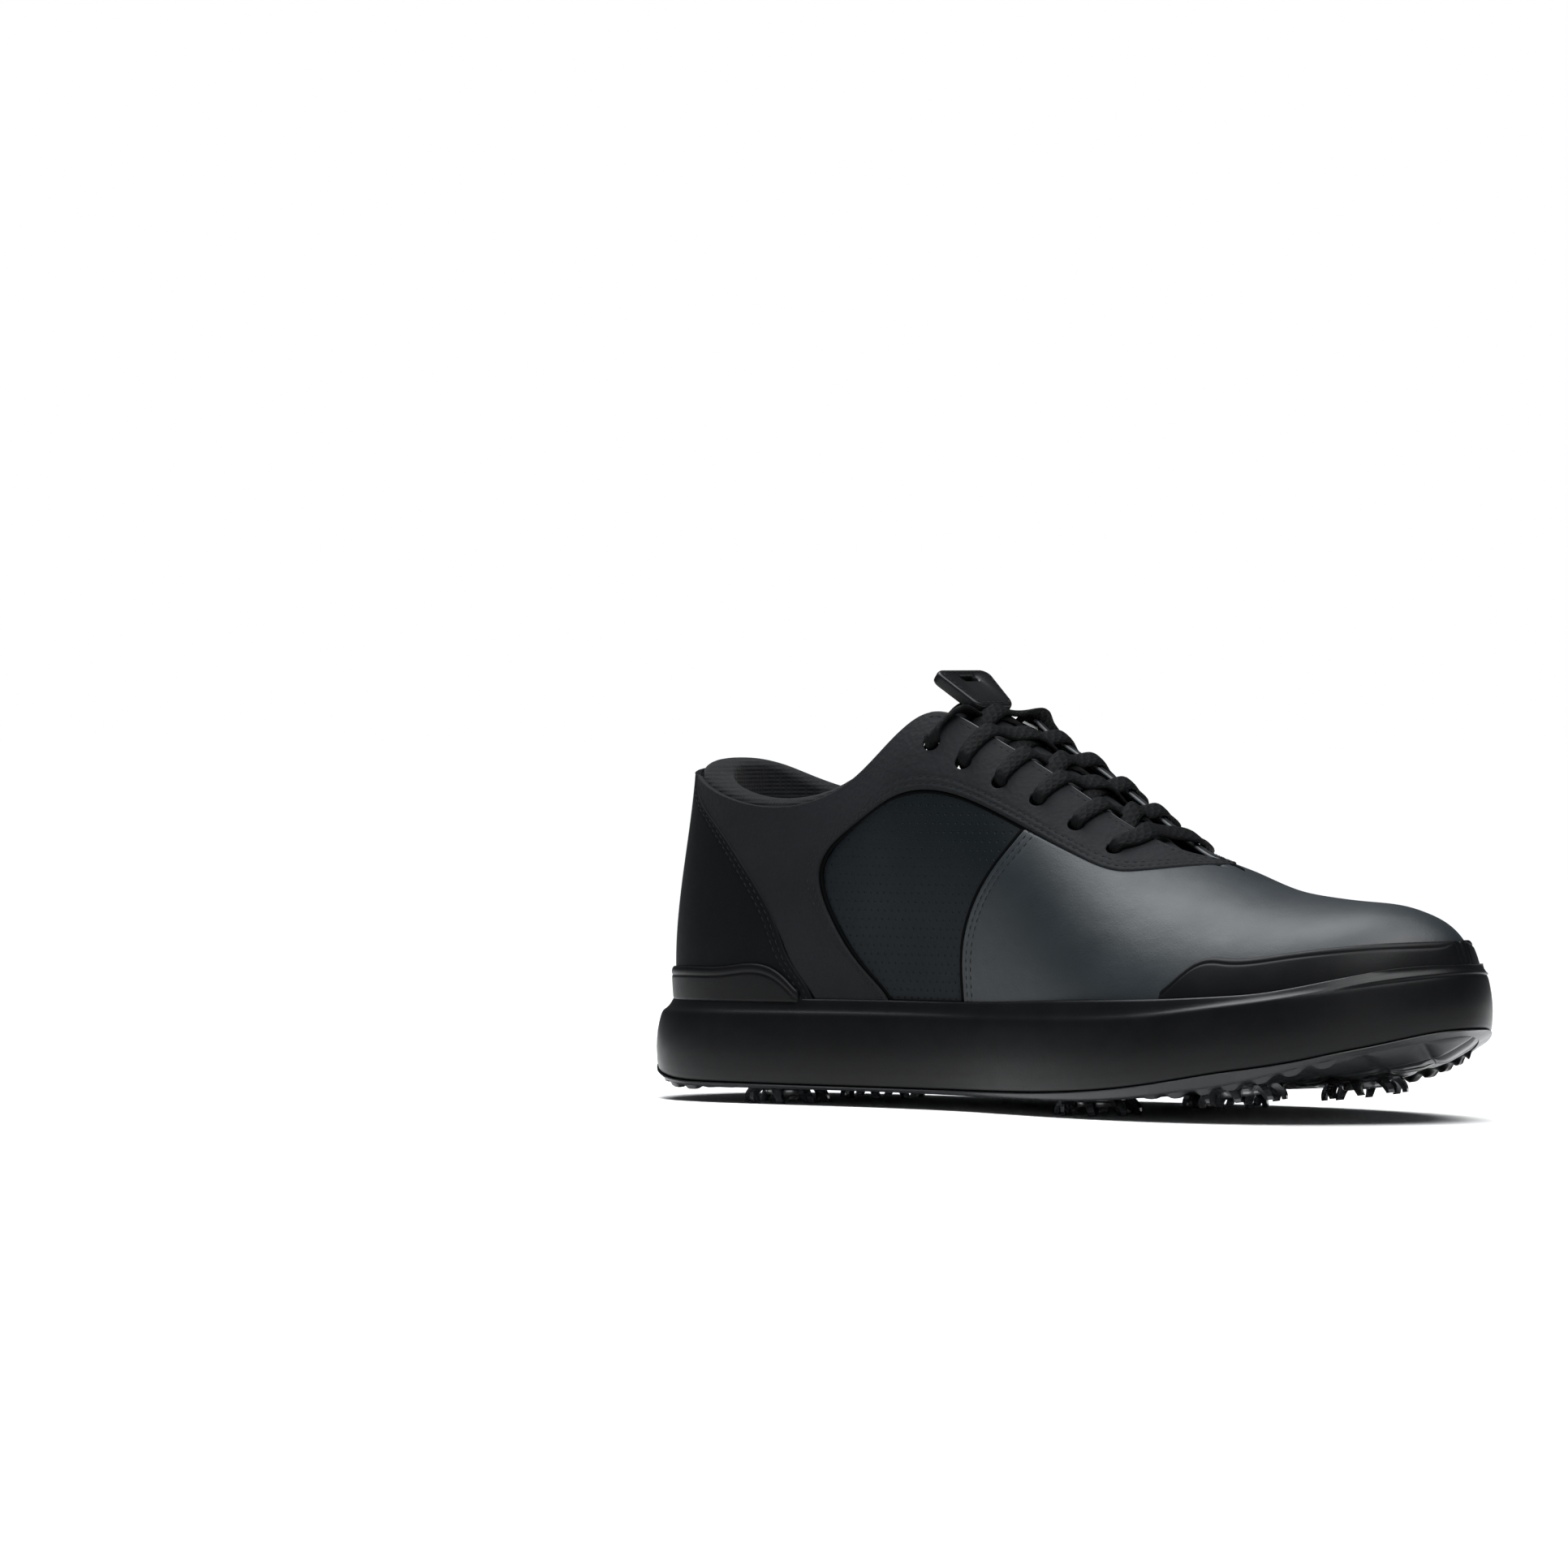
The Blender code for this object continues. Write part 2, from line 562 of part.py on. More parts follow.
def to_the_toe(start, low, high, rows, columns):
    return ribs(start + (TOE - start) * np.sin(np.linspace(0, 1, rows) * np.pi / 2), low, high, columns)


def both(name, make, depth, thickness, look):
    """One shell over both sides, joined where its halves meet at the heel, the toe or the ridge."""
    maps = [make(side) for side in (MEDIAL, LATERAL)]
    medial, lateral = (on_skin(grid, side, depth) for grid, side in zip(maps, (MEDIAL, LATERAL)))
    meet = np.ones(maps[0].shape[:2] + (1,), bool)
    for grid in maps:
        x, w = grid[..., :1], grid[..., 1:]
        meet &= (x <= HEEL + NEAR) | (x >= TOE - NEAR) | ((w >= 1 - NEAR) & (x > THROAT_FRONT - 2))
    middle = (medial + lateral) / 2
    medial, lateral = (np.where(meet, middle, grid) for grid in (medial, lateral))
    return sheet(name, [(medial, MEDIAL), (lateral, LATERAL)], thickness, look)


SIDE_NAMES = {MEDIAL: "medial", LATERAL: "lateral"}

# ---------------------------------------------------------------- eyelets, tongue and lace
EYELETS = [(117.7, 0.86), (128.7, 0.833), (141.6, 0.833), (154.2, 0.853), (167.5, 0.856), (181, 0.853)]
EYELET_RADIUS = 2.7
LACE_RADIUS = 1.4
LACE_UNDER, LACE_OVER = 4.95, -2.2
TONGUE_DEPTH = 6.8
TONGUE_Z = spline([(118, 120.3), (127, 115), (139, 107.8), (152, 100.6), (164, 93.6), (171, 89.4),
                   (181, 83.6), (191, 78.2), (198, 74.8), (203.5, 72.4)])
TONGUE_SHARE = spline([(118, 0.93), (127, 0.87), (140, 0.83), (165, 0.8), (190, 0.82), (203.5, 0.9)])
TONGUE_AXIS = np.array([-0.805, 0, 0.593])
TONGUE_NORMAL = np.array([0.593, 0, 0.805])
TONGUE_FRONT, TONGUE_BACK = 203.5, 118.0


def cap_point(x, v, lift):
    """A point over the tongue between the throat's edges, v from -1 at the inner side to 1 at the outer."""
    x, v, lift = np.broadcast_arrays(*(np.asarray(value, float) for value in (x, v, lift)))
    near = skin(x, 1, MEDIAL, TONGUE_DEPTH - lift)
    far = skin(x, 1, LATERAL, TONGUE_DEPTH - lift)
    point = near + (far - near) * ((v + 1) / 2)[..., None]
    crown = TONGUE_Z(x) + lift - (near[..., 2] + far[..., 2]) / 2
    point[..., 2] += crown * (1 - v * v)
    return point


def tongue_grid(depth, rows=10, skirt=2, cap=4):
    """The tongue's surface at a depth below its outer face, from its free end to the throat's front."""
    stations = np.linspace(TONGUE_BACK, TONGUE_FRONT, rows)
    share = np.linspace(0, 1, skirt + 1)[:-1]
    made = []
    for x in stations:
        low = TONGUE_SHARE(x)
        shares = low + (1 - low) * share
        medial = skin(x, shares, MEDIAL, TONGUE_DEPTH + depth)
        lateral = skin(x, shares, LATERAL, TONGUE_DEPTH + depth)
        middle = cap_point(x, np.linspace(-1, 1, cap + 1), -depth)
        made.append(np.concatenate([medial, middle, lateral[::-1]]))
    made = np.array(made)
    centre = made[0, :, 1].mean()
    free = []
    for reach, width in ((5.5, 0.72), (3.4, 0.9)):
        row = made[0] + TONGUE_AXIS * reach
        row[:, 1] = centre + (row[:, 1] - centre) * width
        free.append(row)
    return np.concatenate([np.array(free), made])


def lace_route():
    """The lace's middle line: a bar under the lowest eyelets, five crossings a side, and two tucked ends."""
    def under(i, side):
        return skin(*EYELETS[i], side, LACE_UNDER)

    def strand(start_side, level):
        side, points = start_side, []
        for i in range(len(EYELETS) - 1, 0, -1):
            (x, w), (next_x, next_w) = EYELETS[i], EYELETS[i - 1]
            middle_x = (x + next_x) / 2
            points += [under(i, side), skin(x, w, side, -2.5), skin(x - 1.2, (w + 1) / 2, side, -2.1),
                       skin(x - 3, 1, side, LACE_OVER),
                       cap_point(middle_x + 1.6, side * 0.45, 2.4 + level * 1.6),
                       cap_point(middle_x, 0, 2.1 + level * 3.2)]
            if i > 1:
                points += [cap_point(middle_x - 1.6, -side * 0.5, 2 + level * 1.2),
                           skin(next_x + 3, 1, -side, LACE_UNDER),
                           skin(next_x + 1.3, (next_w + 1) / 2, -side, LACE_UNDER)]
            else:
                points += [cap_point(middle_x - 1.6, -side * 0.5, 2.6 + level * 1.2),
                           skin(next_x + 2.6, 1, -side, LACE_OVER),
                           skin(next_x + 1.2, (next_w + 1) / 2, -side, -2.1),
                           skin(next_x, next_w, -side, -2.5), skin(next_x, next_w, -side, 6)]
            side = -side
        for x, y, z in LACE_TAIL:
            points.append(np.array([x, side * y + RIDGE_Y(120.0), z]))
        return points

    front = EYELETS[-1][0]
    bar = [skin(front + 1.4, 0.93, MEDIAL, LACE_UNDER), skin(front + 3, 1, MEDIAL, LACE_UNDER),
           cap_point(front + 4, 0, 2.5),
           skin(front + 3, 1, LATERAL, LACE_UNDER), skin(front + 1.4, 0.93, LATERAL, LACE_UNDER)]
    return np.array(strand(MEDIAL, 1)[::-1] + bar + strand(LATERAL, 0))


LACE_TAIL = [(110, 19.5, 92), (103, 20, 80), (96, 21, 62), (94, 21, 46), (101, 20.5, 34.5), (115, 21, 30.6),
             (133, 22.5, 29), (150, 24, 27.8), (166, 25, 27)]
LACE_STEP = 6.5
AGLET_RADIUS, AGLET_START, AGLET_END = 1.5, 0.4, 22


# ---------------------------------------------------------------- spikes and their sockets
SPIKES = {
    "heel_medial": (57, -21), "heel_lateral": (57, 24),
    "ball_medial": (179, -25.6), "ball_lateral": (178, 36.5),
    "toe_medial": (239, -35), "toe_lateral": (240, 21.6),
}
TOE_TILT = 7.4
POCKET_RADIUS, POCKET_DEPTH = 13.2, 1.7
SOCKET_RADIUS, SOCKET_LOW, SOCKET_HIGH, SOCKET_GAP = 8.8, 2.0, 7.2, 0.35
SOCKET_PROFILE = [(0, SOCKET_HIGH), (SOCKET_RADIUS, SOCKET_HIGH), (SOCKET_RADIUS, SOCKET_LOW),
                  (3.8, SOCKET_LOW), (3.8, 4), (5.2, 4), (5.2, 6.4), (0, 6.4)]
CORE_PROFILE = [(0, 5.9), (4.5, 5.9), (4.5, 4.6), (3.2, 4.4), (3.2, 1.4), (6, 1.2), (6, -1.7), (5, -2.4),
                (0, -2.4)]
FLAT_SOLE_Z, TOE_SPRING_X = 4.7, 220
LEGS = 8
LEG_WIDTH = 2.6
LEG_OUTLINE = [(7.2, 1.2), (10.4, 1.2), (12.4, -4.7), (10.3, -4.7), (9, -1.4), (7.2, -1.1)]
RING_INNER, RING_OUTER = 6.4, 10.3


def spike_frame(x, y):
    """The frame of a spike: z into the shoe, the origin in the sole's lower face."""
    tilt = math.radians(TOE_TILT) if x > TOE_SPRING_X else 0
    where = place((x, y, FLAT_SOLE_Z if x < TOE_SPRING_X else float(BOTTOM_Z(x))))
    return Matrix.Translation(Vector(where)) @ Matrix.Rotation(-tilt, 4, "Y")


def spike_legs_mesh(look):
    """The clear ring with its legs, joined into one mesh."""
    ring = turned("spike_ring", [(RING_INNER, 1.2), (RING_OUTER, 1.2), (RING_OUTER, -1.1), (RING_INNER, -1.1),
                                 (RING_INNER, 1.2)], look, steps=16)
    for k in range(LEGS):
        work = bmesh.new()
        flat = [work.verts.new((r * MM, -LEG_WIDTH / 2 * MM, z * MM)) for r, z in LEG_OUTLINE]
        face = work.faces.new(flat)
        grown_face = bmesh.ops.extrude_face_region(work, geom=[face])
        moved = [item for item in grown_face["geom"] if isinstance(item, bmesh.types.BMVert)]
        bmesh.ops.translate(work, verts=moved, vec=(0, LEG_WIDTH * MM, 0))
        bmesh.ops.recalc_face_normals(work, faces=work.faces)
        mesh = bpy.data.meshes.new(f"leg_{k}")
        work.to_mesh(mesh)
        work.free()
        leg = add_object(f"leg_{k}", mesh, look, CUTTERS)
        leg.hide_render = True
        leg.rotation_euler.z = math.tau * (k + 0.5) / LEGS
        join = ring.modifiers.new(f"leg_{k}", "BOOLEAN")
        join.operation = "UNION"
        join.object = leg
    bpy.context.view_layer.update()
    mesh = bpy.data.meshes.new_from_object(ring.evaluated_get(bpy.context.evaluated_depsgraph_get()))
    for thing in [ring] + [thing for thing in CUTTERS.objects if thing.name.startswith("leg_")]:
        bpy.data.objects.remove(thing, do_unlink=True)
    return mesh


# ---------------------------------------------------------------- the sole's inlays
PANEL = [(171, -42), (145, -3.5), (106, 4.5), (75, -30.5), (90, -32), (110, -31.5), (138, -34.3), (158, -39.5)]
INSERT = [(98, 41), (104, 34.5), (128, 36), (137, 45)]
TAG_CENTRE, TAG_LENGTH, TAG_WIDTH = (75, 4.5), 34, 7
INLAY_DEPTH, INLAY_GAP, INLAY_LOW = 1.6, 0.35, 0.15
TAG_RECESS_GAP = 1.6
PLATE = 3.6


def tag_outline(extra=0.0):
    half_x, half_y = TAG_LENGTH / 2 + extra, TAG_WIDTH / 2 + extra
    x, y = TAG_CENTRE
    return rounded([(x - half_x, y - half_y), (x + half_x, y - half_y), (x + half_x, y + half_y),
                    (x - half_x, y + half_y)], 2)


def make_sole():
    def plate_top(x):
        return BOTTOM_Z(x) + PLATE

    def floor_low(x):
        return FLOOR_Z(x) - 0.35

    outsole = loft("outsole", [
        ring_round(SOLE, 4.5, BOTTOM_Z),
        ring_round(SOLE, 1.4, lambda x: BOTTOM_Z(x) + 0.15),
        ring_round(SOLE, 0.2, lambda x: np.minimum(BOTTOM_Z(x) + 1, PART_Z(x) - 0.5)),
        ring_round(SOLE, 0, lambda x: PART_Z(x) - 0.2),
        ring_round(SOLE, 2.6, lambda x: np.maximum(PART_Z(x), BOTTOM_Z(x) + 1.6) - 0.2),
        ring_round(SOLE, 6, plate_top),
    ], LOOKS["outsole"])
    midsole = loft("midsole", [
        ring_round(SOLE, 6.4, lambda x: plate_top(x) + 0.55),
        ring_round(SOLE, 2.7, lambda x: np.maximum(PART_Z(x), BOTTOM_Z(x) + 1.6) + 0.2),
        ring_round(SOLE, 0, lambda x: PART_Z(x) + 0.2),
        ring_round(SOLE, -0.3, lambda x: PART_Z(x) * 0.7 + WALL_Z(x) * 0.3),
        ring_round(SOLE, 0.3, lambda x: PART_Z(x) * 0.35 + WALL_Z(x) * 0.65),
        ring_round(SOLE, 1.5, lambda x: WALL_Z(x) - 2.2),
        ring_round(SOLE, 3.2, WALL_Z),
        *(skin_ring(lambda x, t=t: floor_low(x) + (WALL_Z(x) - floor_low(x)) * t, -0.7)
          for t in (1, 0.66, 0.33, 0)),
        ring_round(FEATHER, 3, floor_low),
    ], LOOKS["midsole"])
    panel = rounded(PANEL, 5)
    insert = rounded(INSERT, 2.5)
    for name, outline, look in (("waist_panel", panel, "gloss"), ("lateral_insert", insert, "insert"),
                                ("heel_tag", tag_outline(), "tag")):
        prism(name, outline, lambda x: BOTTOM_Z(x) + INLAY_LOW,
              lambda x: BOTTOM_Z(x) + INLAY_DEPTH - INLAY_GAP, LOOKS[look])
        edge = tag_outline(TAG_RECESS_GAP) if name == "heel_tag" else grown(outline, INLAY_GAP)
        cut(outsole, prism(name + "_recess", edge, lambda x: BOTTOM_Z(x) - 2,
                           lambda x: BOTTOM_Z(x) + INLAY_DEPTH, LOOKS["cutter"], CUTTERS))
    for name, (x, y) in SPIKES.items():
        frame = spike_frame(x, y)
        cut(outsole, cylinder(f"pocket_{name}", POCKET_RADIUS, -3, POCKET_DEPTH, frame))
        for kind, target in (("hole", outsole), ("well", midsole)):
            cut(target, cylinder(f"{kind}_{name}", SOCKET_RADIUS + SOCKET_GAP, 0, SOCKET_HIGH + SOCKET_GAP,
                                 frame))
    shank = rounded(SHANK_OUTLINE, 6)
    prism("shank", shank, lambda x: floor_low(x) + SHANK_LOW, lambda x: floor_low(x) + SHANK_HIGH,
          LOOKS["shank"])
    cut(midsole, prism("shank_slot", grown(shank, SHANK_CLEARANCE),
                       lambda x: floor_low(x) + SHANK_LOW - SHANK_CLEARANCE,
                       lambda x: floor_low(x) + 3, LOOKS["cutter"], CUTTERS))


def inner_slab(name, depth, low, high, look):
    """A sheet that fills the shoe's bottom inside the linings."""
    return loft(name, [ring_round(FEATHER, depth, lambda x: FLOOR_Z(x) + low),
                       ring_round(FEATHER, depth, lambda x: FLOOR_Z(x) + high)], LOOKS[look], across=2)


def make_spikes():
    legs = spike_legs_mesh(LOOKS["spike"])
    for name, (x, y) in SPIKES.items():
        frame = spike_frame(x, y)
        made = add_object(f"spike_legs_{name}", legs, LOOKS["spike"])
        made.matrix_world = frame
        core = turned(f"spike_core_{name}", CORE_PROFILE, LOOKS["core"], steps=12)
        core.matrix_world = frame
        socket = turned(f"socket_{name}", SOCKET_PROFILE, LOOKS["socket"], steps=12)
        socket.matrix_world = frame


def make_upper():
    both("vamp", vamp_grid, 0, LEATHER, LOOKS["leather"])
    both("heel_counter", counter_grid, 0, LEATHER, LOOKS["trim"])
    both("toe_puff", lambda side: to_the_toe(252, 0.03, 1, 8, 6),
         SECOND_DEPTH, SECOND_THICK, LOOKS["stiffener"])
    both("heel_stiffener", lambda side: band(HEEL, 68, 0.03, 0.6, 8, 4, 1.7),
         SECOND_DEPTH, SECOND_THICK, LOOKS["stiffener"])
    both("collar_foam", lambda side: band(HEEL, 106, 0.665, 0.98, 11, 4, 1.7),
         FOAM_DEPTH, FOAM_THICK, LOOKS["foam"])
    both("collar_lining", lambda side: band(HEEL, 106, 0.66, 1, 11, 4, 1.7),
         COLLAR_DEPTH, LINING_THICK, LOOKS["lining"])
    both("heel_lining", lambda side: band(HEEL, 69.5, 0.02, 0.63, 8, 5, 1.7),
         LINING_DEPTH, LINING_THICK, LOOKS["lining"])
    both("vamp_lining", lambda side: to_the_toe(205.5, 0.02, 1, 10, 7),
         LINING_DEPTH, LINING_THICK, LOOKS["lining"])

    def lining_top(x):
        return 0.63 + 0.14 * smooth(x, 106, 124)

    for side, name in SIDE_NAMES.items():
        quarter = on_skin(quarter_grid(side), side, 0)
        sheet(f"quarter_{name}", [(quarter, side)], LEATHER, LOOKS["leather"])
        facing = sheet(f"facing_{name}", [(on_skin(facing_grid(side), side, 0), side)], LEATHER, LOOKS["trim"])
        stay_grid = band(114.2, 200, lambda x: 0.8 + 0.1 * smooth(x, 185, 200), 0.98, 10, 3)
        stay = sheet(f"eyelet_stay_{name}", [(on_skin(stay_grid, side, SECOND_DEPTH), side)],
                     SECOND_THICK, LOOKS["stiffener"])
        lining = band(70.5, 203, 0.02, lining_top, 12, 6)
        sheet(f"quarter_lining_{name}", [(on_skin(lining, side, LINING_DEPTH), side)],
              LINING_THICK, LOOKS["lining"])
        for i, (x, w) in enumerate(EYELETS):
            point, normal = skin(x, w, side, 0), face_normal(np.array(x), np.array(w), side)
            turn = Vector(normal).to_track_quat("Z", "Y").to_matrix().to_4x4()
            frame = Matrix.Translation(Vector(place(point))) @ turn
            cutter = cylinder(f"eyelet_{name}_{i}", EYELET_RADIUS, -4.8, 4, frame, sides=8)
            cut(facing, cutter)
            cut(stay, cutter)


def guard_low(side):
    return lambda x: height_on(x, WALL_Z(x) + 0.9, side)


def make_trim():
    guard_top = spline([(219, 36.8), (222.5, 39.6), (229, 45.2), (240, 46.6), (257.6, 48.2), (281, 51.2),
                        (291, 52), (TOE, 52.2)])
    foxing_top = spline([(HEEL, 39.6), (30, 40.3), (45, 40.8), (61, 41), (66, 38.6), (72.5, 33)])
    both("toe_guard", lambda side: to_the_toe(
        219, guard_low(side), lambda x: height_on(x, guard_top(x), side), 12, 4),
         -GUARD_PROUD, GUARD_THICK, LOOKS["guard"])
    both("heel_foxing", lambda side: band(
        HEEL, 72, guard_low(side), lambda x: height_on(x, foxing_top(x), side), 9, 4, 1.7),
        -FOXING_PROUD, FOXING_THICK, LOOKS["guard"])


def make_tongue():
    layers = (("tongue", 0, 0.7, "trim"), ("tongue_foam", 2.7, 1.5, "foam"),
              ("tongue_lining", 6.7, 0.7, "lining"))
    for name, depth, thickness, look in layers:
        sheet(name, [(tongue_grid(depth), MEDIAL)], thickness, LOOKS[look])
    middle = np.array([TONGUE_BACK, float(RIDGE_Y(TONGUE_BACK)), float(TONGUE_Z(TONGUE_BACK))])
    centre = middle + TONGUE_AXIS * 7.5 + TONGUE_NORMAL * 2.6
    angle = math.atan2(TONGUE_NORMAL[0], TONGUE_NORMAL[2])
    frame = Matrix.Translation(Vector(place(centre))) @ Matrix.Rotation(angle, 4, "Y")
    tab = bar("tongue_tab", rounded([(-6, -13), (6, -13), (6, 13), (-6, 13)], 4), -1.9, 1.9, LOOKS["trim"])
    slot = bar("tab_slot", rounded([(-4, -4), (-1, -4), (-1, 4), (-4, 4)], 1.4), -6, 6,
               LOOKS["cutter"], CUTTERS)
    tab.matrix_world = slot.matrix_world = frame
    cut(tab, slot)


def bar(name, outline, low, high, look, collection=PARTS):
    """A prism about its own origin, in millimetres."""
    return prism(name, np.asarray(outline) + CENTRE[:2], low, high, look, collection)


def make_lace():
    route = lace_route()
    curve = curve_through(route)
    chord = np.r_[0, np.cumsum(np.linalg.norm(np.diff(route, axis=0), axis=1))]
    stops = []
    for start, end in zip(chord[:-1] / chord[-1], chord[1:] / chord[-1]):
        pieces = max(1, round((end - start) * chord[-1] / LACE_STEP))
        stops += list(np.linspace(start, end, pieces, endpoint=False))
    points = place(curve(np.array(stops + [1.0])))
    data = bpy.data.curves.new("lace", "CURVE")
    data.dimensions = "3D"
    data.bevel_depth = LACE_RADIUS * MM
    data.bevel_resolution = 1
    data.use_fill_caps = True
    path = data.splines.new("POLY")
    path.points.add(len(points) - 1)
    for point, where in zip(path.points, points):
        point.co = (*where, 1)
    data.materials.append(LOOKS["lace"])
    lace = bpy.data.objects.new("lace", data)
    PARTS.objects.link(lace)
    for name, end, before in (("aglet_a", points[0], points[1]), ("aglet_b", points[-1], points[-2])):
        along = Vector(end - before).normalized()
        turn = along.to_track_quat("Z", "Y").to_matrix().to_4x4()
        frame = Matrix.Translation(Vector(end)) @ turn
        cylinder(name, AGLET_RADIUS, AGLET_START, AGLET_END, frame, LOOKS["aglet"], PARTS, sides=10)


def main():
    make_sole()
    inner_slab("strobel_board", BOARD_INSET, BOARD_LOW, BOARD_HIGH, "board")
    inner_slab("sockliner", SOCKLINER_INSET, SOCKLINER_LOW, SOCKLINER_HIGH, "sockliner")
    make_spikes()
    make_upper()
    make_trim()
    make_tongue()
    make_lace()


main()
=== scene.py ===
import math

import bmesh
import bpy
import numpy as np
from mathutils import Matrix, Vector


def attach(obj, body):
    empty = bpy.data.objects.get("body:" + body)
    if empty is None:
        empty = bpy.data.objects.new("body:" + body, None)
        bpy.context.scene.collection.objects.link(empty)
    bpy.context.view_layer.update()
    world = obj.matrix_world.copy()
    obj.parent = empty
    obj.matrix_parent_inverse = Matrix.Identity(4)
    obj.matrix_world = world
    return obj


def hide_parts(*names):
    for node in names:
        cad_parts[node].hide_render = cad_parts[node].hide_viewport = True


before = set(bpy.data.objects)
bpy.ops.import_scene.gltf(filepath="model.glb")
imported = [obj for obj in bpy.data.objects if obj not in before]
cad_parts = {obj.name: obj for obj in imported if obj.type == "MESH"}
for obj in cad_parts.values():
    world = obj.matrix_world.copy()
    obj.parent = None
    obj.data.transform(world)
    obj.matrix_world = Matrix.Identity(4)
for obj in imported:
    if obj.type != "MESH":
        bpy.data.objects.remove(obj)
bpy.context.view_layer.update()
SHOE = "shoe"

# ---------------------------------------------------------------- the shoe's dimensions, millimetres
# x runs from the back of the heel to the toe, y to the outer side of the foot, z up from the ground.
MM = 0.001
UV_SCALE = 0.01
LENGTH = 305.5
CENTRE = np.array([LENGTH / 2, -1.3, 0])
MEDIAL, LATERAL = -1, 1
SIDE_NAMES = {MEDIAL: "medial", LATERAL: "lateral"}
OUTLINE = [
    (0, 0), (4, -17), (14, -30), (31, -37.5), (56, -39), (84, -36.5), (110, -35.5), (138, -38.5),
    (164, -46), (190, -53), (216, -56.5), (244, -55.5), (268, -50), (287, -39.5), (300, -25),
    (305.5, -9), (301.5, 6), (290, 19.5), (269, 33), (245, 44), (218, 51.5), (192, 54),
    (164, 52.5), (135, 49), (104, 45.5), (70, 43), (40, 39.5), (17, 31.5), (4, 18),
]


def spline(table):
    """A natural cubic spline through (x, value) rows."""
    xs, ys = (np.array(column, float) for column in zip(*table))
    gaps = np.diff(xs)
    count = len(xs)
    matrix = np.eye(count)
    right = np.zeros(count)
    for i in range(1, count - 1):
        matrix[i, i - 1:i + 2] = gaps[i - 1], 2 * (gaps[i - 1] + gaps[i]), gaps[i]
        right[i] = 6 * ((ys[i + 1] - ys[i]) / gaps[i] - (ys[i] - ys[i - 1]) / gaps[i - 1])
    bend = np.linalg.solve(matrix, right)

    def read(x):
        x = np.clip(np.asarray(x, float), xs[0], xs[-1])
        i = np.clip(np.searchsorted(xs, x) - 1, 0, count - 2)
        after, before, gap = xs[i + 1] - x, x - xs[i], gaps[i]
        return ((bend[i] * after**3 + bend[i + 1] * before**3) / (6 * gap)
                + (ys[i] / gap - bend[i] * gap / 6) * after
                + (ys[i + 1] / gap - bend[i + 1] * gap / 6) * before)

    return read


def smooth(x, start, end):
    """0 at the start and 1 at the end, eased at both."""
    t = np.clip((np.asarray(x, float) - start) / (end - start), 0, 1)
    return t * t * (3 - 2 * t)


def unit(vectors):
    return vectors / np.maximum(np.linalg.norm(vectors, axis=-1), 1e-9)[..., None]


def run_along(points):
    """The distance run along a line to each of its points."""
    return np.r_[0, np.cumsum(np.linalg.norm(np.diff(points, axis=0), axis=1))]


def read_at(stops, run, rows):
    """Rows read where the run along them reaches each stop."""
    return np.stack([np.interp(stops, run, column) for column in np.asarray(rows).T], -1)


class Loop:
    """A closed outline seen from above, read on either side by its distance x from the heel."""

    def __init__(self, points):
        points = np.asarray(points, float)
        tangent = unit(np.roll(points, -1, 0) - np.roll(points, 1, 0))
        rows = np.c_[points, tangent[:, 1], -tangent[:, 0]]
        heel, toe = points[:, 0].argmin(), points[:, 0].argmax()
        rows = np.roll(rows, -heel, 0)
        toe = (toe - heel) % len(rows)
        back = np.vstack([rows[toe:], rows[:1]])[::-1]
        self.sides = {MEDIAL: rows[:toe + 1], LATERAL: back}
        self.heel, self.toe = rows[0, 0], rows[toe, 0]
        self.toe_y = rows[toe, 1]

    def at(self, x, side):
        """Points (x, y) and outward normals there."""
        rows = self.sides[side]
        x = np.asarray(x, float)
        read = read_at(x, rows[:, 0], rows[:, 1:])
        return np.stack([x, read[..., 0]], -1), unit(read[..., 1:])

    def stations(self, count):
        """Distances from the heel, closer together at the two ends."""
        turn = np.linspace(0, np.pi, count)
        return self.heel + (self.toe - self.heel) * (1 - np.cos(turn)) / 2


def closed_curve(points, count=4000):
    points = np.array(points, float)
    around = np.vstack([points[-6:], points, points[:7]])
    along = run_along(around)
    place_at = np.linspace(along[6], along[6 + len(points)], count, endpoint=False)
    return np.stack([spline(zip(along, around[:, k]))(place_at) for k in (0, 1)], -1)


def inset(points, depth):
    """A closed outline moved inward by a depth at each point."""
    tangent = unit(np.roll(points, -1, 0) - np.roll(points, 1, 0))
    return points - np.c_[tangent[:, 1], -tangent[:, 0]] * np.asarray(depth)[..., None]


SOLE_CURVE = closed_curve(OUTLINE)
SOLE = Loop(SOLE_CURVE)
BOTTOM_Z = spline([(0, 12.6), (4, 10), (9, 7.6), (17, 5.5), (28, 4.7), (60, 4.6), (120, 4.6), (178, 4.8),
                   (200, 5.6), (220, 7.4), (240, 10), (260, 12.6), (280, 15.8), (290, 18), (298, 20.4),
                   (305.5, 24.6)])
PART_Z = spline([(0, 14.6), (8, 10.4), (20, 7.2), (40, 6.2), (90, 6), (137, 6.2), (187, 7.7), (211, 9.7),
                 (229, 12.2), (243, 14.5), (260, 17), (270, 18.9), (279, 21.2), (288, 23.6), (296, 26.2),
                 (301, 27.4), (305.5, 27.6)])
WALL_Z = spline([(0, 31), (64, 31.5), (102, 31.8), (139, 32.1), (182, 33.8), (224, 35.4), (241, 36.4),
                 (258, 38), (276, 41.8), (288, 44.6), (296, 45.7), (305.5, 45.8)])
FLOOR_Z = spline([(0, 24.5), (60, 23.5), (120, 21), (180, 18), (215, 17.2), (250, 19.6), (280, 24.5),
                  (305.5, 29.5)])
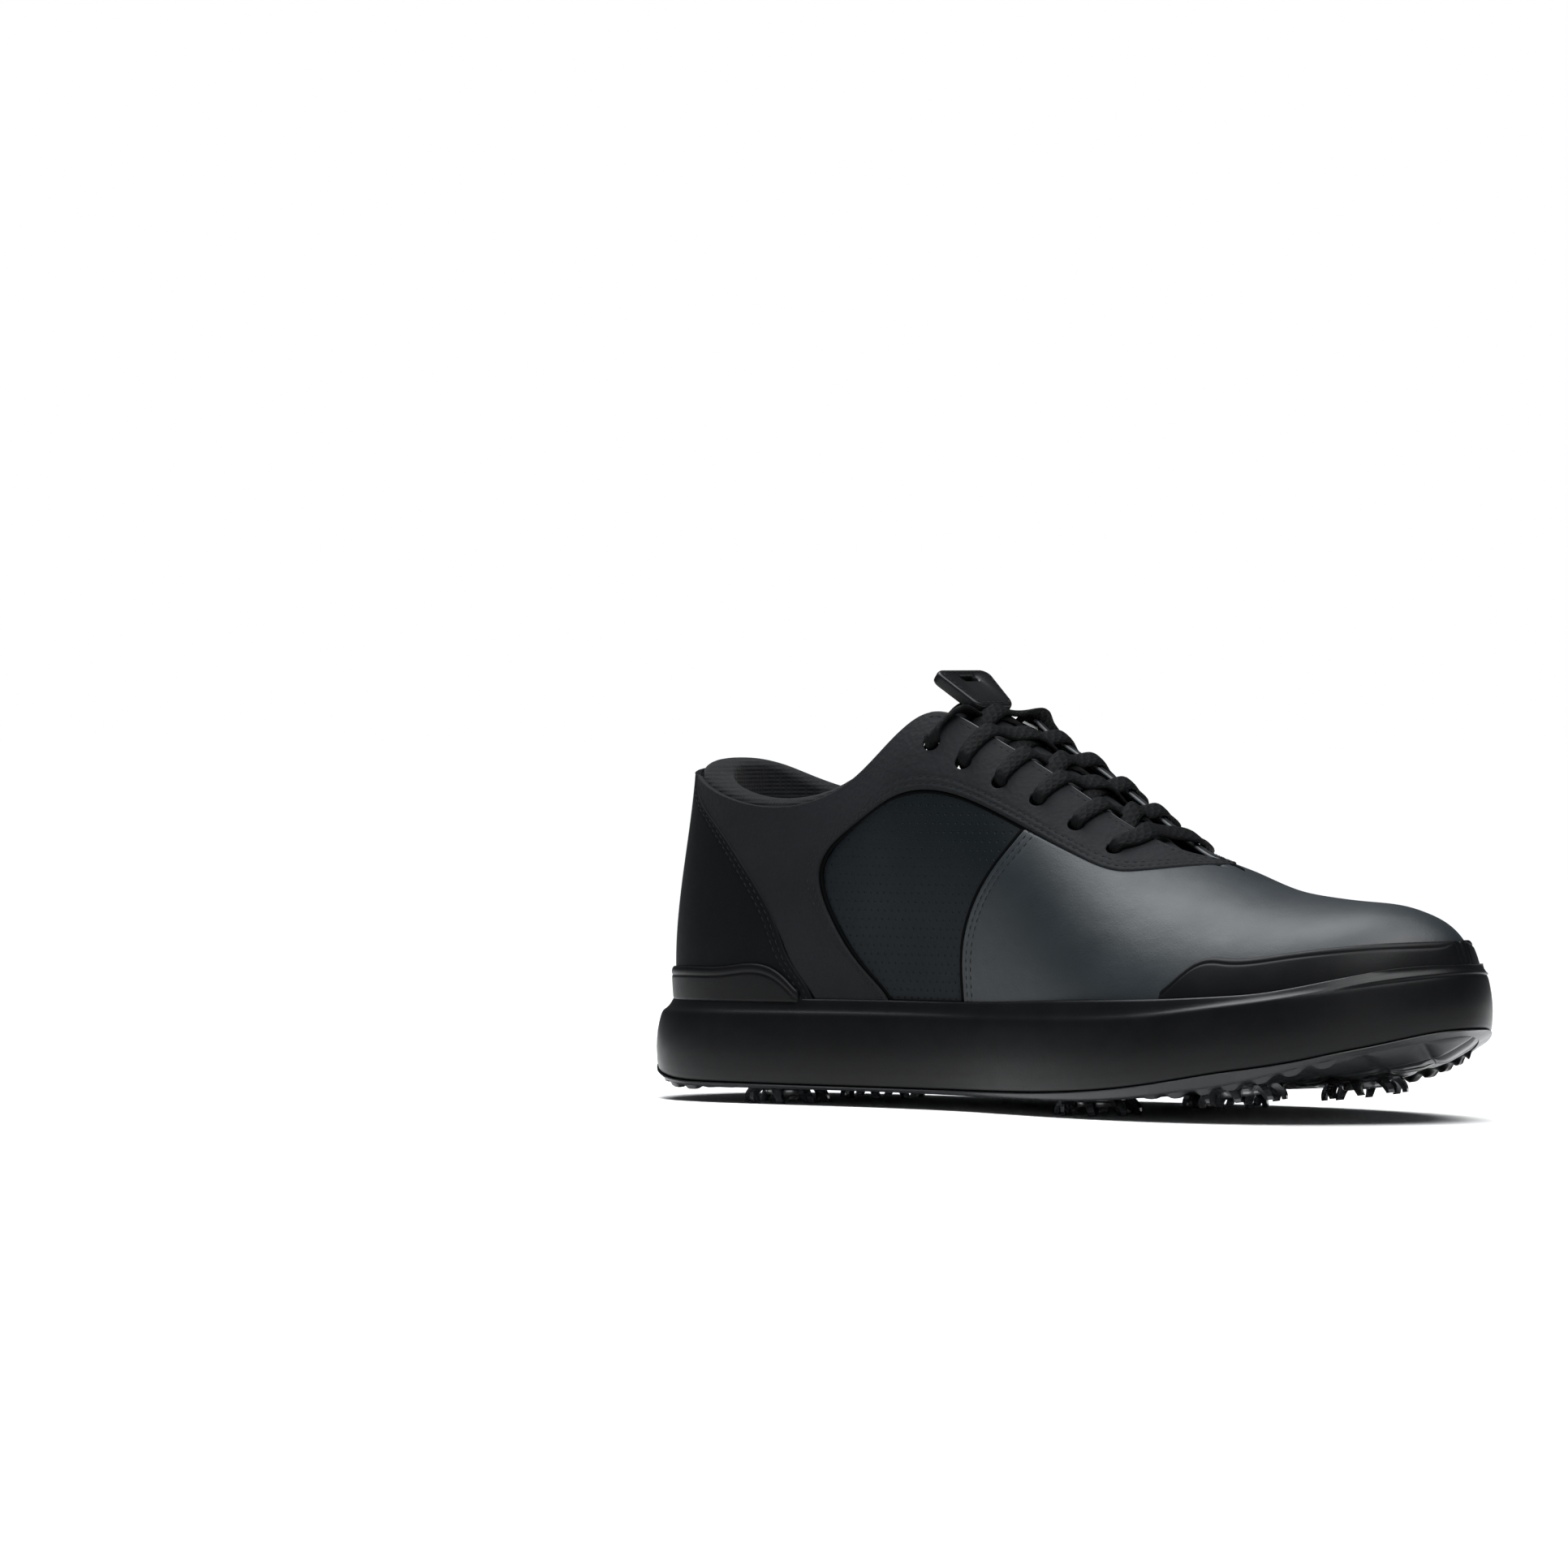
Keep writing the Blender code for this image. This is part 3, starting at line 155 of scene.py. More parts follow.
FEATHER_INSET = spline([(0, 8.6), (20, 7.6), (60, 6.2), (140, 6), (220, 6.2), (280, 6.4), (305.5, 6.6)])
FEATHER = Loop(inset(SOLE_CURVE, FEATHER_INSET(SOLE_CURVE[:, 0])))
TOP_Z = spline([(8.6, 100), (16, 98.5), (30, 94), (45, 90), (60, 88.5), (75, 91), (88, 97.5), (98, 106),
                (106, 113), (112, 116.6), (118, 116.6), (125, 113.6), (133, 109.3), (144, 103.8),
                (156, 97.2), (171, 88.5), (181, 83), (191, 78.4), (198, 75.8), (207, 73.2), (214, 70.9),
                (221, 68.5), (233, 65.7), (246, 64.3), (258, 63.4), (270, 62.9), (276, 62.3), (282, 60.8),
                (288, 58.8), (293, 55.4), (296.5, 50.4), (298.9, 43)])
OPENING_Y = spline([(60, 30), (80, 28.5), (96, 26.5), (108, 24), (118, 20), (126, 17.8), (133, 17), (144, 16),
                    (156, 14.7), (171, 13), (181, 11.6), (191, 8.6), (198, 4.8), (204, 1.6), (209, 0.3),
                    (214, 0), (300, 0)])
RIDGE_Y = spline([(60, 1.5), (120, 0.5), (204, 0), (220, -1.8), (240, -4.6), (260, -7.6), (276, -9.4),
                  (288, -9.8), (298.9, FEATHER.toe_y)])
COLLAR_LEAN = spline([(8.6, 5.6), (20, 4.4), (40, 3.4), (70, 3), (90, 4)])
TOP_SLOPE = spline([(8.6, 86), (40, 84), (75, 78), (95, 66), (108, 52), (118, 42), (133, 35), (156, 31),
                    (181, 26), (195, 17), (205, 8), (214, 1), (222, 0), (299, 0)])
LOW_REACH = spline([(8.6, 0.36), (80, 0.4), (120, 0.46), (165, 0.5), (215, 0.56), (270, 0.62), (299, 0.62)])
HIGH_REACH = spline([(8.6, 0.34), (80, 0.38), (120, 0.42), (165, 0.46), (215, 0.5), (270, 0.56),
                     (299, 0.56)])
LOW_FLARE = spline([(8.6, 9), (60, 5), (120, 4), (165, 6), (215, 5), (270, 3), (299, 1)])
TOE, HEEL = FEATHER.toe, FEATHER.heel
SAME, WELD = 1e-6, 0.02
OUTER_THROAT_DROP = 2.2


def upper(x, w, side):
    """The outer face of the upper: x along the feather line, w from 0 there to 1 at the top line."""
    x, w = np.broadcast_arrays(np.asarray(x, float), np.asarray(w, float))
    foot, normal = FEATHER.at(x, side)
    # The ribs fan out round the heel and stand square to the shoe further forward.
    straight = smooth(x, 25, 75)[..., None]
    out = unit(normal * (1 - straight) + np.array([0, side]) * straight)
    reach_mid = side * (foot[..., 1] - RIDGE_Y(x)) - OPENING_Y(x)
    share = smooth(x, 48, 92)
    across = (COLLAR_LEAN(x) * (1 - share) + reach_mid * share)[..., None]
    out = np.concatenate([out, np.zeros(out.shape[:-1] + (1,))], -1)
    up = np.array([0, 0, 1.0])
    start = np.concatenate([foot, FLOOR_Z(x)[..., None]], -1)
    drop = OUTER_THROAT_DROP * smooth(x, 112, 126) * smooth(x, 206, 186) * (side == LATERAL)
    rise = (TOP_Z(x) - drop - FLOOR_Z(x))[..., None]
    end = start - out * across + up * rise
    flare, slope = (np.radians(angle(x))[..., None] for angle in (LOW_FLARE, TOP_SLOPE))
    low = start + LOW_REACH(x)[..., None] * rise * (up * np.cos(flare) + out * np.sin(flare))
    high = end + HIGH_REACH(x)[..., None] * (across * np.cos(slope) + rise * np.sin(slope)) * (
        out * np.cos(slope) - up * np.sin(slope))
    t = w[..., None]
    return (1 - t)**3 * start + 3 * (1 - t)**2 * t * low + 3 * (1 - t) * t**2 * high + t**3 * end


def height_on(x, z, side):
    """The share w of the rib at x where the upper reaches the height z."""
    x, z = np.broadcast_arrays(np.asarray(x, float), np.asarray(z, float))
    low, high = np.zeros(x.shape), np.ones(x.shape)
    for _ in range(22):
        middle = (low + high) / 2
        under = upper(x, middle, side)[..., 2] < z
        low, high = np.where(under, middle, low), np.where(under, high, middle)
    return (low + high) / 2


def face_normal(x, w, side):
    """The outward unit normal of the upper."""
    step_x, step_w = 0.05, 0.002
    low, high = FEATHER.heel + 1e-4, FEATHER.toe - 1e-4
    x, w = np.broadcast_arrays(np.clip(x, low, high), np.asarray(w, float))
    ahead, behind = np.clip(x + step_x, low, high), np.clip(x - step_x, low, high)
    along = upper(ahead, w, side) - upper(behind, w, side)
    rise = upper(x, np.clip(w + step_w, 0, 1), side) - upper(x, np.clip(w - step_w, 0, 1), side)
    return unit(np.cross(rise, along) * side)


def skin(x, w, side, depth):
    """A point under the outer face of the upper; a negative depth stands proud of it."""
    x, w, depth = np.broadcast_arrays(*(np.asarray(value, float) for value in (x, w, depth)))
    return upper(x, w, side) - face_normal(x, w, side) * depth[..., None]


def place(points):
    """Table coordinates in millimetres, moved into the shoe's own frame in metres."""
    return (np.asarray(points, float) - CENTRE) * MM


# ---------------------------------------------------------------- seams
FACING_SEAM = [(107, 21), (102.6, 33.3), (98, 37.9), (90.3, 45.7), (83.5, 55.3), (79, 63.9), (78, 69.4),
               (80.3, 75.2), (86.4, 80.6), (96.4, 86.6), (106, 91.3), (115.8, 94), (122.9, 94), (130, 92.6),
               (139.7, 89.4), (149.7, 85.4), (161.3, 80.2), (173, 75.1), (182, 71.8), (187.8, 70.8),
               (193.3, 71.2), (199.1, 72), (205.6, 72.7), (214, 72.6)]
VAMP_SEAM = [(134.6, 18), (133.9, 35.3), (134.2, 43.4), (136.5, 51.4), (141.3, 60.3), (147.1, 68.3),
             (152.6, 76.3), (155.3, 82.2)]
COUNTER_SEAM = [(79, 22), (74.8, 34.9), (68, 43.6), (64.1, 51.7), (59.6, 59.6), (55.1, 65.1),
                (51.5, 69.1), (44, 76.5), (34, 84.5), (25, 91), (18, 99)]
JOIN_X = VAMP_SEAM[-1][0]
THROAT_FRONT, SEAM_FRONT, COLLAR_PEAK = 207.0, 214.0, 117.0


def curve_through(points):
    """A smooth curve through points of any dimension, read from 0 to 1 by its length."""
    points = np.asarray(points, float)
    along = run_along(points)
    along /= along[-1]
    reads = [spline(list(zip(along, column))) for column in points.T]
    return lambda t: np.stack([read(t) for read in reads], -1)


def polyline(rows, measure=None):
    """Rows read from 0 to 1, by the length of measure."""
    measure = rows if measure is None else measure
    along = run_along(measure)
    along /= along[-1]
    return lambda t: read_at(t, along, rows)


def seam(points, shift, side, end_at=None):
    """A seam as (x, w), moved to its left by shift millimetres; end_at cuts it short at an x."""
    curve = curve_through(points)
    line = curve(np.linspace(0, 1, 400))
    tangent = unit(np.gradient(line, axis=0))
    line = line + np.c_[-tangent[:, 1], tangent[:, 0]] * shift
    rows = np.c_[line[:, 0], height_on(line[:, 0], line[:, 1], side)]
    if end_at is not None:
        rows = rows[:np.flatnonzero(line[:, 0] < end_at)[-1] + 1]
    return polyline(rows, line[:len(rows)])


def patch(left, right, bottom, top, s, t):
    """Points (x, w) at shares s and t between four edges."""
    s, t = np.broadcast_arrays(s, t)
    u, v = s[..., None], t[..., None]
    return ((1 - u) * left(t) + u * right(t) + (1 - v) * bottom(s) + v * top(s)
            - (1 - u) * (1 - v) * left(0.0) - u * (1 - v) * right(0.0)
            - (1 - u) * v * left(1.0) - u * v * right(1.0))


EDGE_STEPS = np.array([0, 0.12, 0.3, 0.5, 0.75, 1.05, 1.4, 1.75, 2.1, 2.45, 2.8, 3.2, 3.6, 4.0, 4.4, 4.8, 5.3,
                       6.0])


def spread(length, count, low_edge=True, high_edge=True):
    """Shares from 0 to 1 with fine steps near the chosen ends."""
    edge = EDGE_STEPS / max(length, 14)
    middle = np.linspace(edge[-1] if low_edge else 0.0, 1 - edge[-1] if high_edge else 1.0, count)
    return np.concatenate([edge[:-1] if low_edge else [], middle, (1 - edge[::-1])[1:] if high_edge else []])


def arcs(points):
    """The distances run along both axes of a grid of points, and the grid's texture coordinates."""
    runs = []
    for axis in (0, 1):
        steps = np.linalg.norm(np.diff(points, axis=axis), axis=-1)
        runs.append(np.concatenate([np.zeros_like(steps.take([0], axis)), np.cumsum(steps, axis)], axis))
    return *runs, np.stack(runs, -1) * UV_SCALE


# ---------------------------------------------------------------- mesh making
CREASE = math.radians(38)


def add(name, data):
    made = bpy.data.objects.new(name, data)
    bpy.context.scene.collection.objects.link(made)
    return made


def new_object(name, points, faces, look, uv=None, smooth_faces=True, body=SHOE, replaces=()):
    """A mesh piece from points in metres; uv holds one pair for each point."""
    mesh = bpy.data.meshes.new(name)
    points = np.asarray(points, float)
    mesh.from_pydata(points.tolist(), [], [tuple(int(i) for i in face) for face in faces])
    mesh.validate()
    work = bmesh.new()
    work.from_mesh(mesh)
    bmesh.ops.recalc_face_normals(work, faces=work.faces)
    work.to_mesh(mesh)
    work.free()
    if uv is not None:
        layer = mesh.uv_layers.new(name="surface")
        loops = np.empty(len(mesh.loops), np.int32)
        mesh.loops.foreach_get("vertex_index", loops)
        layer.data.foreach_set("uv", np.asarray(uv, float)[loops].ravel())
    if smooth_faces:
        mesh.shade_smooth()
    mesh.materials.append(look)
    made = add(name, mesh)
    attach(made, body)
    if replaces:
        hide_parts(*replaces)
    return made


def grid_faces(rows, columns, start=0, flip=False, wrap=False):
    i, j = np.meshgrid(np.arange(rows - 1), np.arange(columns if wrap else columns - 1), indexing="ij")
    k = (j + 1) % columns
    a, b = start + i * columns + j, start + i * columns + k
    c, d = b + columns, a + columns
    quads = np.stack([a, d, c, b] if not flip else [a, b, c, d], -1)
    return quads.reshape(-1, 4)


def tube_faces(rows, columns, start=0, flip=False):
    """The faces of a closed tube: its wall, and one face at each end."""
    last = start + (rows - 1) * columns
    return [tuple(face) for face in grid_faces(rows, columns, start, flip, wrap=True)] + [
        tuple(range(start, start + columns)), tuple(range(last, last + columns))[::-1]]


def clean_faces(faces):
    """Faces with repeated corners dropped."""
    cleaned = (tuple(dict.fromkeys(int(i) for i in face)) for face in faces)
    return [corners for corners in cleaned if len(corners) > 2]


def shell(name, blocks, look, replaces=(), ease=None):
    """A closed shell from grids (outer points, inner points, side, uv), joined where their edges meet."""
    outer = np.concatenate([block[0].reshape(-1, 3) for block in blocks])
    inner = np.concatenate([block[1].reshape(-1, 3) for block in blocks])
    uv = np.concatenate([block[3].reshape(-1, 2) for block in blocks])
    faces, start = [], 0
    for grid, _, side, _ in blocks:
        rows, columns = grid.shape[:2]
        faces.append(grid_faces(rows, columns, start, flip=side == LATERAL))
        start += rows * columns
    faces = np.concatenate(faces)
    _, first, index = np.unique(np.round(outer / WELD).astype(int), axis=0, return_index=True,
                                return_inverse=True)
    index = index.reshape(-1)
    outer, inner, uv = outer[first], inner[first], uv[first]
    faces = clean_faces(index[faces])
    if ease is not None:
        outer = ease(outer, faces)
    count = len(outer)
    edges = dict.fromkeys((a, b) for face in faces for a, b in zip(face, face[1:] + face[:1]))
    rim = [(b, a, a + count, b + count) for a, b in edges if (b, a) not in edges]
    back = [tuple(i + count for i in face[::-1]) for face in faces]
    return new_object(name, place(np.concatenate([outer, inner])), faces + back + rim, look,
                      uv=np.concatenate([uv, uv]), replaces=replaces)


ROLL, LEATHER_THICK = 0.9, 1.2
STITCH_ROWS, STITCH_SINK = (2.0, 4.0), 0.05
UNDERLAP = 3.0


def roll(distance, reach=ROLL):
    """How far a folded edge has come up, from 0 at the edge to 1 at its reach."""
    t = np.clip(distance / reach, 0, 1)
    return np.sqrt(np.clip(1 - (1 - t)**2, 0, 1))


def groove(distance, rows, depth=0.15, width=0.45):
    """How far the leather is pressed in near rows of stitches."""
    return sum(depth * np.exp(-((distance - row) / width)**2) for row in rows)


def panel_block(grid, side, lift, edges, down=1.0, sunk=()):
    """Outer and inner grids of one leather panel. edges names the folded, stitched sides of the grid, and
    sunk the sides where another panel's seam presses the leather down."""
    x, w = grid[..., 0], np.clip(grid[..., 1], 0, 1)
    base = skin(x, w, side, 0)
    along, across, uv = arcs(base)
    distance = {"first_row": along, "last_row": along[-1:] - along,
                "first_column": across, "last_column": across[:, -1:] - across}
    depth = np.full(x.shape, -lift)
    for edge, stitched in edges.items():
        depth = depth + (1 - roll(distance[edge])) * down
        if stitched:
            depth = depth + groove(distance[edge], STITCH_ROWS)
    for edge, mask in sunk:
        depth = depth + groove(distance[edge], (UNDERLAP + 0.4,), 1.3, 0.65) * mask
    outer = skin(x, w, side, depth)
    inner = skin(x, w, side, np.maximum(-lift + LEATHER_THICK, depth + 0.5))
    return [outer, inner, side, uv], distance


def merge_halves(blocks, grids):
    """Both halves of a panel share the points where they meet at the heel, the toe or the ridge."""
    meet = np.ones(grids[0].shape[:2] + (1,), bool)
    for grid in grids:
        x, w = grid[..., :1], grid[..., 1:]
        meet &= (x <= HEEL + SAME) | (x >= TOE - SAME) | ((w >= 1 - SAME) & (x > THROAT_FRONT - 2))
    for k in (0, 1):
        middle = (blocks[0][k] + blocks[1][k]) / 2
        for block in blocks:
            block[k] = np.where(meet, middle, block[k])


def stitches(name, lines, length=1.6, gap=0.9, radius=0.21):
    """Thread stitches lying along lines of (points, normals)."""
    corners, sections, ahead = 6, 5, 0.4
    turn = np.linspace(0, 2 * np.pi, corners, endpoint=False)
    along = np.linspace(-1, 1, sections)
    wide = np.sqrt(np.clip(1 - np.abs(along)**2.6, 0.05, 1)) * radius
    body = np.array([[a * length / 2, size * np.cos(t), size * np.sin(t)]
                     for a, size in zip(along, wide) for t in turn])
    body_faces = tube_faces(sections, corners)
    points, faces = [], []
    for line, normals in lines:
        run = run_along(line)
        if run[-1] < length * 2:
            continue
        stops = np.arange(length, run[-1] - length, length + gap)
        at = read_at(stops, run, line)
        normal = unit(read_at(stops, run, normals))
        forward = unit(read_at(stops + ahead, run, line) - at)
        sideways = unit(np.cross(normal, forward))
        up = np.cross(forward, sideways)
        for p, f, s, u in zip(at, forward, sideways, up):
            base = len(points) * len(body)
            points.append(p + body @ np.array([f, s, u]))
            faces += [tuple(i + base for i in face) for face in body_faces]
    return new_object(name, place(np.concatenate(points)), faces, THREAD)


def line_at(block, distance, edge, row):
    """The line on a panel at a distance from one of its edges, with its normals."""
    outer, inner = block[0], block[1]
    if edge.endswith("row"):
        outer, inner, distance = outer.transpose(1, 0, 2), inner.transpose(1, 0, 2), distance.T
    points, normals = [], []
    for k in range(len(outer)):
        d, p, q = distance[k], outer[k], inner[k]
        if d[-1] < d[0]:
            d, p, q = d[::-1], p[::-1], q[::-1]
        if d[-1] < row * 1.6:
            continue
        points.append(read_at(row, d, p))
        normals.append(points[-1] - read_at(row, d, q))
    points, normals = np.array(points), unit(np.array(normals))
    return points - normals * STITCH_SINK, normals


def tube(name, path, radius, look, count=8, replaces=(), flat=None, wide=None):
    """A closed tube along a path; wide holds the direction of its width and flat its two half sizes."""
    path = np.asarray(path, float)
    forward = unit(np.gradient(path, axis=0))
    wide = np.array([0.0, 0, 1]) if wide is None else wide
    width = unit(wide - forward * np.sum(wide * forward, -1)[:, None])
    up = np.cross(forward, width)
    sizes = np.full((len(path), 2), float(radius)) if flat is None else np.asarray(flat, float)
    turn = np.linspace(0, 2 * np.pi, count, endpoint=False)
    across, rise = np.cos(turn), np.sin(turn)
    squareness = 0.75
    across, rise = (np.sign(values) * np.abs(values)**squareness for values in (across, rise))
    points = (path[:, None] + width[:, None] * (across[None, :, None] * sizes[:, None, :1])
              + up[:, None] * (rise[None, :, None] * sizes[:, None, 1:]))
    run = run_along(path)
    uv = np.stack([np.repeat(run[:, None], count, 1), np.repeat(turn[None] / (2 * np.pi), len(path), 0)], -1)
    return new_object(name, place(points.reshape(-1, 3)), tube_faces(len(path), count), look,
                      uv=uv.reshape(-1, 2) * UV_SCALE, replaces=replaces)


def subtract(target, fill, crease=None):
    """Cuts what fill(work) makes out of a piece; edges sharper than crease are left unsmoothed."""
    work = bmesh.new()
    fill(work)
    bmesh.ops.recalc_face_normals(work, faces=work.faces)
    mesh = bpy.data.meshes.new("cutter")
    work.to_mesh(mesh)
    work.free()
    cutter = add("cutter", mesh)
    step = target.modifiers.new("cut", "BOOLEAN")
    step.operation, step.solver, step.object = "DIFFERENCE", "EXACT", cutter
    bpy.context.view_layer.update()
    made = bpy.data.meshes.new_from_object(target.evaluated_get(bpy.context.evaluated_depsgraph_get()))
    target.modifiers.clear()
    target.data = made
    bpy.data.objects.remove(cutter, do_unlink=True)
    made.shade_smooth()
    if crease is None:
        return
    work = bmesh.new()
    work.from_mesh(made)
    for line in work.edges:
        if len(line.link_faces) == 2 and line.calc_face_angle() > crease:
            line.smooth = False
    work.to_mesh(made)
    work.free()


# ---------------------------------------------------------------- materials
def nodes_of(name, **values):
    """A new material, its tree and its shader, with uniform values set on the shader."""
    made = bpy.data.materials.new(name)
    made.use_nodes = True
    shader = made.node_tree.nodes["Principled BSDF"]
    for key, value in values.items():
        shader.inputs[key.replace("_", " ")].default_value = value
    return made, made.node_tree, shader


def node(tree, kind, **settings):
    made = tree.nodes.new(kind)
    for key, value in settings.items():
        if key in made.inputs:
            made.inputs[key].default_value = value
        else:
            setattr(made, key, value)
    return made


def texture_node(tree, kind, scale, **settings):
    """A texture that repeats scale times a metre, fixed to the piece."""
    made = node(tree, f"ShaderNodeTex{kind}", Scale=1.0, **settings)
    source, mapping = node(tree, "ShaderNodeTexCoord"), node(tree, "ShaderNodeMapping", Scale=(scale,) * 3)
    tree.links.new(source.outputs["Object"], mapping.inputs["Vector"])
    tree.links.new(mapping.outputs["Vector"], made.inputs["Vector"])
    return made


def noise(tree, scale, detail=4.0, roughness=0.55):
    return texture_node(tree, "Noise", scale, Detail=detail, Roughness=roughness).outputs["Fac"]


def cells(tree, scale, feature="DISTANCE_TO_EDGE"):
    return texture_node(tree, "Voronoi", scale, feature=feature).outputs["Distance"]


def ramp(tree, value, dark, light, start=0.3, end=0.75):
    made = node(tree, "ShaderNodeValToRGB")
    for element, position, colour in zip(made.color_ramp.elements, (start, end), (dark, light)):
        element.position, element.color = position, (*colour, 1)
    tree.links.new(value, made.inputs["Fac"])
    return made.outputs["Color"]


def math_node(tree, operation, a, b=None):
    made = node(tree, "ShaderNodeMath", operation=operation)
    for socket, value in zip(made.inputs, (a, b)):
        if isinstance(value, (int, float)):
            socket.default_value = value
        elif value is not None:
            tree.links.new(value, socket)
    return made.outputs["Value"]


def remap(tree, value, low=0.0, high=1.0, start=0.0, end=1.0):
    """A value from start to end, moved to between low and high."""
    settings = {"From Min": start, "From Max": end, "To Min": low, "To Max": high}
    made = node(tree, "ShaderNodeMapRange", **settings)
    tree.links.new(value, made.inputs["Value"])
    return made.outputs["Result"]


def bump(tree, shader, heights):
    """Bumps chained one on the next: (value, strength, distance in metres)."""
    last = None
    for value, strength, distance in heights:
        made = node(tree, "ShaderNodeBump", Strength=strength, Distance=distance)
        tree.links.new(value, made.inputs["Height"])
        if last is not None:
            tree.links.new(last, made.inputs["Normal"])
        last = made.outputs["Normal"]
    tree.links.new(last, shader.inputs["Normal"])


def axes(tree, kind):
    """The separate axes of a piece's coordinates of one kind, Object or UV."""
    source, split = node(tree, "ShaderNodeTexCoord"), node(tree, "ShaderNodeSeparateXYZ")
    tree.links.new(source.outputs[kind], split.inputs["Vector"])
    return split.outputs


def dots(tree, pitch, radius):
    """1 inside small round holes in staggered rows, as seen from the shoe's side."""
    def step(operation, a, b=None):
        return math_node(tree, operation, a, b)

    place_of = axes(tree, "Object")
    along, up = (step("MULTIPLY", place_of[axis], 1000 / pitch) for axis in ("X", "Z"))
    odd = step("MULTIPLY", step("MODULO", step("FLOOR", up), 2.0), 0.5)
    u = step("SUBTRACT", step("FRACT", step("ADD", along, odd)), 0.5)
    v = step("SUBTRACT", step("FRACT", up), 0.5)
    square = step("ADD", step("MULTIPLY", u, u), step("MULTIPLY", v, v))
    return remap(tree, step("SQRT", square), start=radius / pitch, end=radius / pitch * 0.6)


def finish(tree, shader, colour, heights, rough=None):
    tree.links.new(colour, shader.inputs["Base Color"])
    if rough is not None:
        tree.links.new(rough, shader.inputs["Roughness"])
    bump(tree, shader, heights)


def leather(name, dark, light, rough, grain=0.12, pores=0.0, texture=0.0, specular=0.3):
    """Smooth finished leather: fine grain, soft colour change, and pores, their holes painted near black as
    painted shade, or a pressed texture if asked.
    """
    made, tree, shader = nodes_of(name, Specular_IOR_Level=specular)
    colour = ramp(tree, noise(tree, 28, 3), dark, light, 0.35, 0.7)
    heights = [(noise(tree, 60, 3), 0.35, 0.0009), (cells(tree, 900), grain, 0.00025),
               (noise(tree, 2600, 2), grain, 0.00012)]
    if texture:
        heights += [(cells(tree, 620, "F1"), texture, 0.00045), (noise(tree, 1300, 3, 0.7), texture, 0.0003)]
    if pores:
        holes = dots(tree, 2.6, 0.42)
        # The pores' holes are painted near black: painted shade inside each hole.
        mix = node(tree, "ShaderNodeMix", data_type="RGBA")
        tree.links.new(holes, mix.inputs["Factor"])
        tree.links.new(colour, mix.inputs[6])
        mix.inputs[7].default_value = (0.001, 0.0012, 0.0015, 1)
        colour = mix.outputs[2]
        heights.append((math_node(tree, "SUBTRACT", 1.0, holes), pores, 0.0002))
    finish(tree, shader, colour, heights, remap(tree, noise(tree, 75, 4), rough - 0.07, rough + 0.07))
    return made


def rubber(name, dark, light, rough, grain=0.15, specular=0.16):
    made, tree, shader = nodes_of(name, Specular_IOR_Level=specular)
    finish(tree, shader, ramp(tree, noise(tree, 45), dark, light),
           [(noise(tree, 1500, 3), grain, 0.00015), (noise(tree, 90, 3), grain, 0.0004)],
           remap(tree, noise(tree, 160, 5), rough - 0.06, rough + 0.08))
    return made


def textile(name, dark, light, pitch):
    """A woven or knitted cloth with threads pitch millimetres apart."""
    made, tree, shader = nodes_of(name, Roughness=0.9, Specular_IOR_Level=0.12, Sheen_Weight=0.04,
                                  Sheen_Roughness=0.5)
    waves = [texture_node(tree, "Wave", 314 / pitch, bands_direction=axis, Distortion=0.4).outputs["Fac"]
             for axis in "XYZ"]
    weave = math_node(tree, "MULTIPLY", math_node(tree, "MAXIMUM", waves[0], waves[1]), waves[2])
    finish(tree, shader, ramp(tree, noise(tree, 500), dark, light),
           [(weave, 0.5, 0.0003), (noise(tree, 1800, 3), 0.3, 0.0002)])
    return made


def braid(name, dark, light, pitch=1.5):
    """A flat braided lace, its strands crossing in both diagonals along the length."""
    made, tree, shader = nodes_of(name, Roughness=0.7, Specular_IOR_Level=0.07)
    surface = axes(tree, "UV")
    along = math_node(tree, "MULTIPLY", surface["X"], 100 / pitch * math.pi)
    round_it = math_node(tree, "MULTIPLY", surface["Y"], 100 * 14 * math.pi)
    strands = math_node(tree, "MAXIMUM", *(math_node(tree, "SINE", math_node(tree, way, along, round_it))
                                           for way in ("ADD", "SUBTRACT")))
    fibres = noise(tree, 3000, 3)
    finish(tree, shader, ramp(tree, fibres, dark, light), [(strands, 0.35, 0.0003), (fibres, 0.25, 0.0001)])
    return made


def plastic(name, dark, light, rough, metallic=0.0, transmission=0.0):
    made, tree, shader = nodes_of(name, Metallic=metallic, Transmission_Weight=transmission, IOR=1.5)
    finish(tree, shader, ramp(tree, noise(tree, 120), dark, light), [(noise(tree, 700, 3), 0.05, 0.0002)],
           remap(tree, noise(tree, 260), rough - 0.04, rough + 0.06))
    return made


VAMP_LEATHER = leather("vamp_leather", (0.0062, 0.009, 0.0113), (0.0088, 0.0125, 0.0153), 0.5, specular=0.33)
QUARTER_LEATHER = leather("quarter_leather", (0.0026, 0.0042, 0.0053), (0.0037, 0.0058, 0.0072), 0.52,
                          pores=0.8, specular=0.09)
FACING_LEATHER = leather("facing_leather", (0.0048, 0.0054, 0.0064), (0.0072, 0.0079, 0.0093), 0.72,
                         grain=0.1, texture=0.35, specular=0.1)
# The heel counter is made darker than the other panels as painted shade, for the shadow a neighbouring shoe
# casts over the heel.
SHADED_COUNTER_LEATHER = leather("counter_leather", (0.0012, 0.0018, 0.0023), (0.0021, 0.0029, 0.0036), 0.6,
                          specular=0.05)
TAB_LEATHER = leather("tab_leather", (0.002, 0.0022, 0.0026), (0.0034, 0.0037, 0.0043), 0.38, specular=0.2)
THREAD = textile("thread", (0.004, 0.0045, 0.0053), (0.0085, 0.0092, 0.0105), pitch=0.5)
